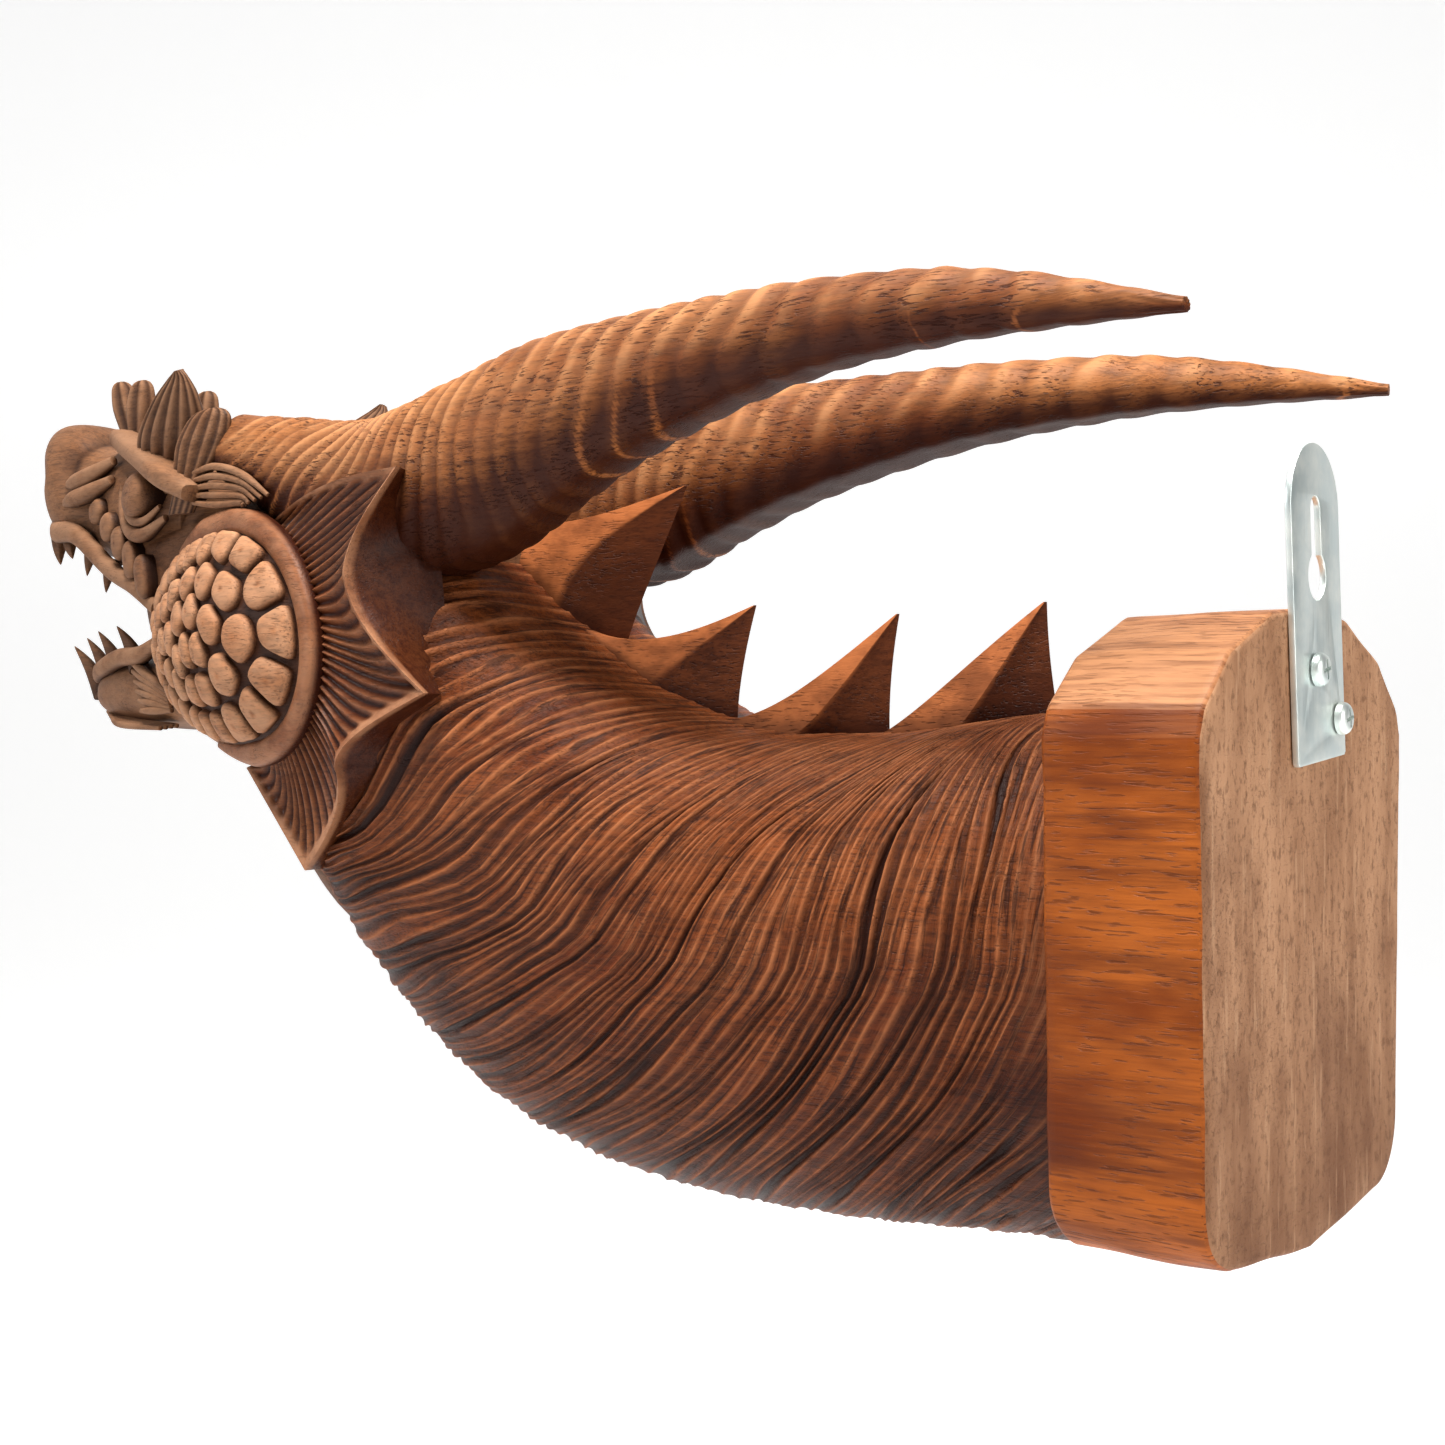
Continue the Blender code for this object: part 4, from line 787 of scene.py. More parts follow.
def make_fin(index, rear, front, tip, height, lag):
    rows = []
    fin_stain_and_shade = []
    wear_and_highlight_rows = []
    for share in np.linspace(-0.35, 1.0, 46):
        width = FIN_HALF * read_table(FIN_WIDTHS, share)[0]
        rise = max(share, 0.0)
        back = rear + (tip - rear) * rise**1.2 + 3.0 * share * (1 - share)
        fore = front + (tip + 0.8 - front) * rise**lag
        middle = back + (fore - back) * FIN_CREASE
        corners = np.array([
            (back, 0.0), (middle, width), (fore, width * FIN_EDGE),
            (fore, -width * FIN_EDGE), (middle, -width), (back, 0.0),
        ])
        flank = np.linspace(0, 5, FIN_SIDES, endpoint=False)
        spots = np.interp(flank, range(6), corners[:, 0])
        sides = np.interp(flank, range(6), corners[:, 1])
        base = read_table(NECK, spots)[:, 0]
        tall = base + (height - base) * share
        dish = np.sin(flank * np.pi) ** 2
        is_flank = (flank < 1) | (flank > 4)
        sides = sides * (1 - 0.13 * dish * is_flank)
        rows.append(placed(spots, sides, tall))
        # painted shade: the foot is painted dark where the fin meets the neck, and the flanks are
        # darker than the front face, which gets wear and a painted highlight
        foot = 1 - soft_step(np.full(FIN_SIDES, share), 0.0, 0.2)
        fin_stain_and_shade.append(np.where(is_flank, 0.28 + 0.5 * foot, 0.6 * foot))
        wear_and_highlight_rows.append(np.where(is_flank, 0.1, 0.95))
    block = Carving()
    block.grid(np.array(rows), np.array(fin_stain_and_shade), np.array(wear_and_highlight_rows))
    return as_wood(block, f"spine_fin_{index}", FIN_WOOD, 32)


for index, fin in enumerate(FINS):
    make_fin(index + 1, *fin)

# %% [markdown]
# ## The horns
# Each horn is a long tapering tube that starts with a blunt cut end above the brow, swells behind
# the frill and runs back to the wall. Its rings slant: they sit further back on top than at the
# side. They are close together at the thick end and grow apart and fainter towards the tip. The
# count of rings is added up along the horn, and each point reads how far it is through its ring.

# %% Horns
HORN = (
    (338.0, 33.0, 134.5, 9.5, 12.0),
    (308.0, 34.0, 125.0, 14.0, 17.0),
    (268.0, 35.0, 113.0, 17.5, 25.0),
    (229.0, 36.5, 118.0, 18.0, 28.0),
    (199.0, 38.5, 128.0, 17.5, 25.0),
    (170.0, 41.0, 134.5, 16.0, 19.5),
    (134.0, 45.0, 139.5, 13.5, 14.5),
    (105.0, 48.5, 141.5, 11.5, 12.0),
    (70.0, 53.0, 141.0, 9.5, 9.5),
    (42.0, 57.0, 138.0, 6.5, 6.5),
    (3.0, 62.5, 131.5, 1.6, 1.4),
)
RING_GAP = ((3.0, 13.0), (60.0, 13.0), (150.0, 12.5), (190.0, 9.5), (240.0, 7.5), (338.0, 6.5))
RING_HEIGHT = ((3.0, 0.1), (30.0, 0.4), (80.0, 0.65), (150.0, 0.65), (190.0, 0.6), (235.0, 1.2),
               (290.0, 1.1), (325.0, 0.5), (338.0, 0.2))
RIGHT_DROP = 6.0
HORN_FLATS = {1: -0.84, -1: -0.66}
HORN_FLAT_SOFTNESS = 0.12
HORN_SLANT = 13.0
HORN_RINGS = 81
HORN_ROWS = 620
HORN_SIDES = 76


def make_horn(name, side):
    root = HORN[0][0]
    tip = HORN[-1][0]
    distance = np.linspace(root, tip, HORN_ROWS + 1)
    across, height, wide, deep = np.moveaxis(read_table(HORN, distance), -1, 0)
    if side < 0:
        height = height - RIGHT_DROP * np.sin(np.pi * np.arange(HORN_ROWS + 1) / HORN_ROWS)
    path = placed(distance, across * side, height)
    sideways, upward = path_axes(path)
    turn = 2 * np.pi * (np.arange(HORN_SIDES) + 0.5) / HORN_SIDES
    rise = np.cos(turn)
    limit = HORN_FLATS[side]
    soft = HORN_FLAT_SOFTNESS
    rise = np.where(rise < limit + soft, limit + soft * np.tanh((rise - limit) / soft), rise)
    gap = read_table(RING_GAP, distance)[:, 0]
    counted = np.concatenate([[0], np.cumsum(-np.diff(distance) / gap[:-1])])
    slant = HORN_SLANT * soft_step(distance, 20, 200)[:, None] * np.cos(turn)[None, :]
    slant = slant + 1.2 * np.sin(3 * turn[None, :] + distance[:, None] * 0.09)
    spot = np.clip(distance[:, None] + slant, tip, root)
    count = np.interp(-spot, -distance, counted)
    part = (count - np.floor(count)) ** 0.7
    ring = 0.5 - 0.5 * np.cos(2 * np.pi * part)
    which = np.clip(count.astype(int), 0, HORN_RINGS - 1)
    ring = ring * dice.uniform(0.7, 1.1, HORN_RINGS)[which]
    tall = read_table(RING_HEIGHT, distance)[:, 0][:, None]
    swell = (ring - 0.8) * tall
    swell = swell + 0.25 * np.sin(distance[:, None] * 0.05 + 2 * turn[None, :])
    rough_tip = soft_step(-distance, -26, -6)[:, None] * 0.1
    swell = swell + rough_tip * np.sin(9 * turn[None, :] + distance[:, None] * 0.4)
    wide = np.maximum(wide[:, None] + swell, 0.4)
    deep = np.maximum(deep[:, None] + swell, 0.4)
    points = path[:, None, :] + sideways[:, None, :] * (wide * np.sin(turn))[..., None]
    points = points + upward[:, None, :] * (deep * rise)[..., None]
    points[..., 1] = np.minimum(points[..., 1], -0.3)
    # painted shade: the underside of the horn is painted dark, and the ring grooves get stain and
    # painted shade
    below = soft_step(-np.cos(turn), -0.05, 0.7)[None, :]
    # painted shade: under the thick part of the horn, next to the frill, the colour is painted
    # darker
    thick = soft_step(distance, 215, 262)[:, None] * soft_step(-np.cos(turn), -0.45, 0.5)[None, :]
    stain_and_shade = (1 - ring) ** 2.5 * 0.5 * np.minimum(tall, 1) + 0.9 * below + 0.5 * thick
    # wear and a painted highlight on the upper side of the horn, strongest on the ring crests
    wear_and_highlight = (0.3 + 0.4 * soft_step(ring, 0.5, 1.0)) * soft_step(np.cos(turn), -0.5, 0.6)[None, :]
    block = Carving()
    block.grid(points, np.clip(stain_and_shade, 0, 1), wear_and_highlight)
    return as_wood(block, name, HORN_WOOD, 60)


make_horn("left_horn", 1)
make_horn("right_horn", -1)

# %% [markdown]
# ## Skull, snout and lower jaw
# Three rounded forms carry the face: the skull, which widens back to the frill, the upper snout
# with its round nose, and the lower jaw. Each is skinned from upright sections. Small dents, such
# as the nostrils, are pressed into the finished surface.

# %% Face forms
SKULL = (
    (240.0, 20.0, 100.0, 36.0),
    (262.0, -10.0, 114.0, 42.0),
    (290.0, -22.0, 120.0, 46.0),
    (318.0, 6.0, 126.0, 45.0),
    (345.0, 31.0, 130.0, 42.0),
    (372.0, 43.0, 134.0, 37.0),
    (388.0, 58.0, 138.0, 33.0),
)
SNOUT = (
    (366.0, 84.0, 136.0, 35.0),
    (390.0, 88.0, 142.0, 33.0),
    (415.0, 98.0, 146.5, 27.5),
    (434.0, 105.0, 146.5, 23.5),
    (445.0, 108.0, 150.5, 22.5),
    (456.0, 110.0, 156.5, 22.0),
    (467.0, 114.0, 158.5, 19.5),
    (475.0, 123.0, 157.5, 14.5),
    (481.0, 133.0, 154.0, 9.0),
    (484.0, 140.0, 149.0, 4.0),
)
JAW = (
    (345.0, 42.0, 73.0, 37.0),
    (372.0, 44.0, 73.0, 34.0),
    (398.0, 44.5, 71.0, 29.5),
    (420.0, 46.0, 70.0, 24.5),
    (434.0, 49.0, 66.5, 19.5),
    (443.0, 52.5, 63.5, 12.5),
    (447.5, 56.0, 60.5, 5.5),
)


def form(stations, power, rows, sides):
    """Upright rounded sections along a form, as a grid of points and its angles."""
    distance = np.linspace(stations[0][0], stations[-1][0], rows)[:, None]
    low, high, half = np.moveaxis(read_table(stations, distance), -1, 0)
    turn = 2 * np.pi * np.arange(sides)[None, :] / sides
    wide, up = boxy(turn, power)
    return placed(distance, half * wide, (low + high) / 2 + up * (high - low) / 2), turn


def dent(points, spot, reach, depth):
    """Presses a soft round dent into a grid, towards the middle of the head."""
    spot = np.array([spot[1], -spot[0], spot[2]])
    away = np.linalg.norm((points - spot) / reach, axis=-1)
    press = np.exp(-(away**2)) * depth
    points[..., 0] -= np.sign(points[..., 0]) * press
    return np.exp(-(away**2))


def make_face_forms():
    block = Carving()
    points, turn = form(SKULL, 0.8, 60, 72)
    block.grid(points, 0.25, 0.2)
    points, turn = form(SNOUT, 0.75, 130, 96)
    # the nostrils, dents and the crease are darkened with stain and painted shade
    stain_and_shade = np.zeros(points.shape[:2])
    for side in (1, -1):
        stain_and_shade += dent(points, (471, 15.5 * side, 139), 3.6, 3.2) * 0.9
        stain_and_shade += dent(points, (450, 23 * side, 141), 5.5, 2.0) * 0.6
        stain_and_shade += dent(points, (433, 22 * side, 124), 9.0, 1.6) * 0.35
    ahead = -points[..., 1]
    crease = np.exp(-(((ahead - 444.5) / 3.2) ** 2)) * soft_step(points[..., 2], 120, 138)
    points[..., 2] -= 1.4 * crease * soft_step(points[..., 2], 140, 149)
    stain_and_shade += 0.65 * crease
    # mouth marks the snout's underside, which carries ribs and is painted dark as painted shade;
    # the rest gets wear and a painted highlight
    mouth = soft_step(-np.cos(turn), 0.55, 0.8) * np.ones_like(ahead)
    ribs = 0.25 * np.sin(ahead * 0.9)
    points[..., 2] += ribs * mouth
    block.grid(points, np.clip(stain_and_shade + 0.5 * mouth, 0, 1), 0.3 * (1 - mouth))
    points, turn = form(JAW, 0.75, 90, 80)
    # the jaw's inner side and underside are painted dark as painted shade; the rest gets wear and a
    # painted highlight
    inside = soft_step(np.cos(turn), 0.55, 0.85) * np.ones(points.shape[:2])
    under = soft_step(-np.cos(turn), 0.6, 0.95) * np.ones(points.shape[:2])
    block.grid(points, np.clip(0.55 * inside + 0.35 * under, 0, 1), 0.5 * (1 - inside))
    return as_wood(block, "skull_snout_and_jaw", HEAD_WOOD)


make_face_forms()

# %% [markdown]
# ## Cheeks of pebble scales
# Behind the mouth each cheek is a shallow egg-shaped dome packed with scales, large and round at
# the back, small and narrow at the mouth, inside a smooth raised rim. A carver fits each scale to
# its neighbours, so no grid will do. Here the middles of the scales settle over the dome until each
# has the room that its size asks for, and each scale then grows until it meets the next ones.

# %% Cheeks
CHEEK = (60.0, 321.0, 73.5)
CHEEK_FRONT = 66.0
CHEEK_REAR = 45.5
CHEEK_HALF = 36.0
CHEEK_BULGE = 13.0
CHEEK_TURN = math.radians(14.0)
CHEEK_SLANT = 0.22
SCALE_COUNT = 44
SCALE_SIZES = (15.5, 9.0)
SCALE_FIELD = 0.94
SCALE_GAP = 1.9
SCALE_SQUEEZE = 1.3
SCALE_SAMPLES = 61
SCALE_SETTLING = 40
SCALE_BULGE = 3.3
SCALE_SIDES = 32
SCALE_CORNERS = 6
RIM_SAMPLES = 40
RIM_TURNS = (48, 292)
RIM_ROWS = 120
RIM_THICK = 3.4
DOME_SIDES = 96
DOME_DEPTH = 16


def cheek_axes(side):
    """Out of the face, forward along it, and up."""
    out = np.array([side * math.cos(CHEEK_TURN), -math.sin(CHEEK_TURN), 0])
    forward = np.array([-side * math.sin(CHEEK_TURN), -math.cos(CHEEK_TURN), 0])
    return out, forward, np.array([0.0, 0.0, 1.0])


def cheek_point(side, along, up):
    """Points of the dome, from shares of its length and half height."""
    along, up = np.broadcast_arrays(np.asarray(along, float), np.asarray(up, float))
    out, forward, rise = cheek_axes(side)
    crown = np.array([CHEEK[0] * side, -CHEEK[1], CHEEK[2]])
    ahead = along * np.where(along > 0, CHEEK_FRONT, CHEEK_REAR) + up * CHEEK_SLANT * CHEEK_HALF
    fall = CHEEK_BULGE * (along**2 + up**2)
    return (
        crown
        + ahead[..., None] * forward
        + (up * CHEEK_HALF)[..., None] * rise
        - fall[..., None] * out
    )


def unit(vector):
    return vector / np.linalg.norm(vector)


def cheek_normal(side, along, up):
    """The way the dome faces."""
    ahead = cheek_point(side, along + 0.02, up) - cheek_point(side, along - 0.02, up)
    above = cheek_point(side, along, up + 0.02) - cheek_point(side, along, up - 0.02)
    normal = np.cross(ahead, above)
    normal /= np.linalg.norm(normal, axis=-1, keepdims=True)
    return normal * np.sign(normal @ cheek_axes(side)[0])[..., None]


# The third column paints each boss's foot dark, stain and painted shade where it meets the surface;
# the rest gets the worn colour, wear and a painted highlight.
PEBBLE = (
    (1.0, -1.3, 1.0), (1.0, -0.2, 1.0), (0.985, 0.25, 0.75), (0.95, 0.52, 0.25), (0.88, 0.74, 0.0),
    (0.74, 0.89, 0.0), (0.52, 0.97, 0.0), (0.25, 1.0, 0.0),
)


def add_pebble(block, centre, normal, along, length, width, bulge, sides=24, box=0.8, wear_and_highlight=0.5):
    """A flat-topped boss rooted below the surface: a scale, a lip bead or an eyeball."""
    normal = unit(np.asarray(normal, float))
    along = np.asarray(along, float)
    first = unit(along - normal * (along @ normal))
    second = np.cross(normal, first)
    turn = 2 * np.pi * np.arange(sides) / sides
    across, ahead = boxy(turn, box)
    rows = []
    dark = []
    for share, lift, shade in PEBBLE:
        flat = first * (ahead * length / 2 * share)[:, None]
        flat = flat + second * (across * width / 2 * share)[:, None]
        rows.append(centre + flat + normal * bulge * lift)
        dark.append(np.full(sides, shade))
    dark = np.array(dark)
    block.grid(np.array(rows), dark, wear_and_highlight * (1 - dark))


def flat_length(ahead):
    """The length of the dome laid out flat; its front part is drawn longer."""
    return np.where(ahead > 0, CHEEK_FRONT * SCALE_SQUEEZE, CHEEK_REAR)


def flat_cheek(along, up):
    return np.stack([along * flat_length(along), up * CHEEK_HALF], axis=-1)


def scale_size(ahead):
    """How wide a scale is: large at the rear, small at the mouth."""
    share = (ahead / flat_length(ahead) + 1) / 2
    return SCALE_SIZES[0] + (SCALE_SIZES[1] - SCALE_SIZES[0]) * share


def spread_scales():
    """Lets the scales' middles settle over the flat dome until each has room for its size."""
    steps = np.linspace(-1, 1, SCALE_SAMPLES)
    along, up = (grid.ravel() for grid in np.meshgrid(steps, steps, indexing="ij"))
    inside = along**2 + up**2 < SCALE_FIELD**2
    field = flat_cheek(along[inside], up[inside])
    sizes = scale_size(field[:, 0])
    filled = np.cumsum(flat_length(field[:, 0]) / sizes**2)
    number = np.arange(SCALE_COUNT)
    middles = field[np.searchsorted(filled, filled[-1] * (number + 0.5) / SCALE_COUNT)]
    weight = flat_length(field[:, 0]) / sizes**4
    for _ in range(SCALE_SETTLING):
        away = np.linalg.norm(field[:, None, :] - middles[None, :, :], axis=-1)
        nearest = away.argmin(axis=1)
        for k in number:
            mine = nearest == k
            middles[k] = np.average(field[mine], axis=0, weights=weight[mine])
    return middles


def scale_reach(middles, k, angles):
    """How far scale k reaches at each angle before it meets a neighbour or the rim."""
    sizes = scale_size(middles[:, 0])
    walls = []
    for other, spot in enumerate(middles):
        if other != k:
            apart = spot - middles[k]
            room = np.linalg.norm(apart) * sizes[k] / (sizes[k] + sizes[other])
            walls.append((math.atan2(apart[1], apart[0]), room))
    for turn in np.linspace(0, 2 * math.pi, RIM_SAMPLES, endpoint=False):
        edge = flat_cheek(SCALE_FIELD * np.cos(turn), SCALE_FIELD * np.sin(turn))
        outward = unit(edge / np.array([flat_length(edge[0]) ** 2, CHEEK_HALF**2]))
        walls.append((math.atan2(outward[1], outward[0]), (edge - middles[k]) @ outward))
    facing, room = np.array(walls).T
    closeness = np.maximum(np.cos(angles[:, None] - facing), 0) / room
    return (closeness**SCALE_CORNERS).sum(axis=1) ** (-1 / SCALE_CORNERS) - SCALE_GAP / 2


MIDDLES = spread_scales()


def make_cheek(name, side):
    block = Carving()
    out = cheek_axes(side)[0]
    turn = 2 * np.pi * np.arange(DOME_SIDES) / DOME_SIDES
    rows = [cheek_point(side, np.cos(turn), np.sin(turn)) - out * DOME_DEPTH]
    # painted shade: the dome's ground between the scales is painted dark, lighter at its rim
    shades = [np.full(DOME_SIDES, 0.3)]
    for share in np.linspace(1.0, 0.05, 24):
        rows.append(cheek_point(side, share * np.cos(turn), share * np.sin(turn)))
        shades.append(np.full(DOME_SIDES, 0.3 if share > 0.93 else 0.95))
    block.grid(np.array(rows), np.array(shades), 0.2)
    angles = 2 * np.pi * np.arange(SCALE_SIDES) / SCALE_SIDES
    spokes = np.stack([np.cos(angles), np.sin(angles)], axis=-1)
    for k, middle in enumerate(MIDDLES):
        reach = scale_reach(MIDDLES, k, angles)[:, None]
        tilt = dice.normal(0, 0.16, 2)
        rows = []
        dark = []
        for share, lift, shade in PEBBLE:
            flat = middle + spokes * reach * share
            ahead = flat[:, 0] / flat_length(flat[:, 0])
            above = flat[:, 1] / CHEEK_HALF
            rise = SCALE_BULGE * lift * (1 + 0.1 * (spokes @ tilt) * share)
            spot = cheek_point(side, ahead, above)
            rows.append(spot + cheek_normal(side, ahead, above) * rise[:, None])
            dark.append(np.full(SCALE_SIDES, shade))
        dark = np.array(dark)
        block.grid(np.array(rows), dark, 0.55 * (1 - dark))
    print("scales on one cheek", len(MIDDLES))
    return as_wood(block, name, SCALE_WOOD)


def make_rim(block, side):
    """The smooth raised rim round the dome's top, rear and bottom."""
    out = cheek_axes(side)[0]
    turn = np.radians(np.linspace(*RIM_TURNS, RIM_ROWS))
    path = cheek_point(side, np.cos(turn), np.sin(turn))
    ahead = np.gradient(path, axis=0)
    across = np.cross(ahead, out)
    across /= np.linalg.norm(across, axis=1)[:, None]
    around = 2 * np.pi * np.arange(20) / 20
    row = np.arange(RIM_ROWS)
    taper = np.clip(0.3 + np.minimum(row, row[::-1]) / 18, 0, 1)
    wide, up = boxy(around, 0.75)
    rows = path[:, None, :] + taper[:, None, None] * RIM_THICK * (
        out * up[None, :, None] + across[:, None, :] * 1.25 * wide[None, :, None]
    )
    # painted shade: the rim's sides and underside are painted dark, its outward top left light with
    # wear and a painted highlight
    shade = np.clip(0.9 - 1.6 * np.maximum(up, 0), 0, 1) * np.ones((RIM_ROWS, 1))
    block.grid(rows, shade, 0.6 * (1 - shade))


make_cheek("left_cheek_scales", 1)
make_cheek("right_cheek_scales", -1)

# %% [markdown]
# ## The frill
# Behind the cheek a stiff frill stands out, scalloped between its points, with ribs that fan out
# from the rim to the edge. The edge is left as a smooth raised border, painted paler as wear and a
# painted highlight, and behind it the wood falls away in a smooth hollow, painted dark as painted
# shade. The rib grooves and the frill's root are darkened with stain and painted shade. Each column
# of this grid is one cut through the frill.

# %% Frill
FRILL_EDGE = (
    (300.0, 108.0, 50.0, 290.0),
    (236.0, 118.0, 60.0, 250.0),
    (252.0, 90.0, 65.0, 236.0),
    (222.0, 55.0, 63.0, 234.0),
    (259.0, 34.0, 62.0, 242.0),
    (286.0, 3.0, 50.0, 290.0),
    (318.0, 33.0, 46.0, 312.0),
)
FRILL_RIBS = 42
FRILL_SAMPLES = 9
FRILL_ROOT = 22.0
FRILL_TURNS = (118.0, 262.0)
FRILL_INNER = 0.95


def frill_edge(share):
    """The scalloped edge, from its upper front end round to its lower front end."""
    edge = np.array(FRILL_EDGE)
    spans = len(edge) - 1
    k = np.minimum((share * spans).astype(int), spans - 1)
    t = share * spans - k
    curved = np.where(k % 2 == 1, np.sin(t * np.pi / 2), 1 - np.cos(t * np.pi / 2))
    slide = np.where((k > 0) & (k < spans - 1), curved, t)
    here = edge[k]
    after = edge[k + 1]
    values = here + (after - here) * t[:, None]
    values[:, 0] = here[:, 0] + (after[:, 0] - here[:, 0]) * slide
    rise = np.where(k == 0, 1 - (1 - t) ** 3, t)
    values[:, 1] = here[:, 1] + (after[:, 1] - here[:, 1]) * rise
    return values


def make_frill(name, side):
    columns = FRILL_RIBS * FRILL_SAMPLES
    share = np.linspace(0, 1, columns + 1)
    turn = np.radians(FRILL_TURNS[0] + (FRILL_TURNS[1] - FRILL_TURNS[0]) * share)
    inner = cheek_point(side, FRILL_INNER * np.cos(turn), FRILL_INNER * np.sin(turn))
    distance, height, across, behind = frill_edge(share).T
    edge = placed(distance, across * side, height)
    back = placed(behind, (across - FRILL_ROOT) * side, height)
    deep = np.stack([(across - FRILL_ROOT) * side, inner[:, 1], inner[:, 2]], axis=-1)
    rows = []
    shades = []
    wear_and_highlight_rows = []
    for v in np.linspace(0, 1, 30):
        count = share * FRILL_RIBS + 0.9 * np.sin(np.pi * v) * np.cos(np.pi * share * 2)
        part = count - np.floor(count)
        channel = 1 - np.abs(2 * part - 1) ** 1.5
        open_ground = soft_step(v, 0.0, 0.1) * (1 - soft_step(v, 0.86, 0.95))
        dish = 2.2 * np.sin(np.pi * v)
        push = -1.25 * channel * open_ground - dish + 0.5 * soft_step(v, 0.88, 0.98)
        point = inner + (edge - inner) * v
        point[:, 0] += side * push
        rows.append(point)
        # stain and painted shade in the rib grooves, and painted shade at the root
        shades.append(np.clip(channel**2 * open_ground * 0.95 + 0.5 * (v < 0.03), 0, 1))
        # wear and a painted highlight, strongest on the border
        wear_and_highlight_rows.append((1 - channel * open_ground) * (0.35 + 0.6 * soft_step(v, 0.85, 0.95)))
    round_over = edge.copy()
    round_over[:, 0] -= side * 0.9
    round_over = round_over + (back - edge) * 0.03
    rows.append(round_over)
    # the border's round-over: light painted shade, with wear and a painted highlight
    shades.append(np.full(columns + 1, 0.25))
    wear_and_highlight_rows.append(np.full(columns + 1, 0.6))
    for v in np.linspace(0.1, 1, 9):
        point = edge + (back - edge) * v
        point[:, 0] -= side * 1.5 * math.sin(math.pi * v)
        rows.append(point)
        # painted shade: the back face of the frill is painted dark
        shades.append(np.full(columns + 1, 0.72 + 0.2 * v))
        wear_and_highlight_rows.append(np.full(columns + 1, 0.0))
    rows.append(deep)
    # painted shade where the frill meets the cheek
    shades.append(np.full(columns + 1, 0.9))
    wear_and_highlight_rows.append(np.zeros(columns + 1))
    block = Carving()
    block.grid(
        np.array(rows).transpose(1, 0, 2), np.array(shades).T, np.array(wear_and_highlight_rows).T
    )
    make_rim(block, side)
    return as_wood(block, name, FRILL_WOOD, 50)


make_frill("left_frill_and_rim", 1)
make_frill("right_frill_and_rim", -1)

# %% [markdown]
# ## Brows, lids, lips and small ridges
# The rest of the face is drawn with tapering ridges, as a carver draws with a gouge: the heavy
# flat brows, the lids, the wrinkles behind the nose, the lips, the tufts at the temples and the
# slender feathers on the jaw. Each ridge is a path of a few points with a width and a height.

# %% Ridges of the face
RIDGES = [
    (((421, 18, 147.5), (400, 26.5, 141), (380, 33.5, 134), (362, 40, 126.5), (346, 44.5, 120)),
     ((5, 3.2), (7, 3.8), (8, 4.2), (7.5, 4), (4.5, 2.8)), 0.6),
    (((409, 25, 135), (406, 28, 124), (397, 32.5, 113), (383, 37, 109.5), (367, 40, 114)),
     ((1.0, 1.2), (2.2, 2.2), (2.6, 2.4), (2.6, 2.4), (1.0, 1.2)), 0.8),
    (((403, 29, 131), (400, 31.5, 122), (392, 35, 115.5), (381, 38, 114), (370, 40, 118)),
     ((0.8, 0.8), (1.5, 1.5), (1.8, 1.6), (1.6, 1.5), (0.8, 0.8)), 0.8),
    (((449, 21.5, 133), (441, 23, 133.2), (428, 25.5, 134.6), (414, 27, 138)),
     ((1.2, 1.6), (2.8, 3), (3, 3), (1.4, 1.6)), 0.8),
    (((451, 21.5, 126.5), (442, 23.5, 127), (428, 26, 128.4), (413, 28.5, 131.2)),
     ((1.2, 1.6), (2.8, 3), (3, 3), (1.4, 1.6)), 0.8),
    (((474, 7, 121), (462, 17, 117), (440, 24, 114), (412, 29.5, 100), (392, 34, 93),
      (376, 37, 85)),
     ((2.6, 3.5), (3.0, 4.0), (2.6, 3.6), (2.6, 3.2), (2.6, 3.0), (2.0, 2.5)), 0.8),
    (((445, 7, 61.5), (438, 16, 64.5), (424, 22.5, 67), (410, 26.5, 69.5), (392, 31.5, 70),
      (376, 36, 74)),
     ((2.2, 2.5), (2.6, 3.0), (3.0, 3.2), (3.0, 3.2), (3.0, 3.0), (2.0, 2.0)), 0.8),
]
for k in range(5):
    RIDGES.append((
        ((349, 42.5, 127 - 2.4 * k), (334, 45.5, 127.5 - 3.0 * k), (318, 48, 123.5 - 2.2 * k),
         (304 + 3 * k, 49.5, 116 - 0.6 * k)),
        ((0.8, 0.8), (1.6, 1.2), (1.5, 1.1), (0.6, 0.6)), 0.8,
    ))
for k in range(6):
    RIDGES.append((
        ((402 - 2 * k, 28.5 + 0.6 * k, 68 - 3.4 * k), (390 - 1.5 * k, 31.5 + 0.3 * k, 64 - 2.6 * k),
         (372, 35.5 - 0.3 * k, 57 - 1.2 * k)),
        ((0.8, 0.8), (1.7, 1.5), (0.8, 0.8)), 0.8,
    ))
for k in range(4):
    RIDGES.append((
        ((436 - 4 * k, 14 + 2.4 * k, 51 - 0.6 * k), (410, 22 + 1.5 * k, 47.5 - 0.4 * k),
         (380, 26 + 2.2 * k, 46 - 0.3 * k)),
        ((0.7, 0.7), (1.5, 1.2), (0.8, 0.8)), 0.8,
    ))


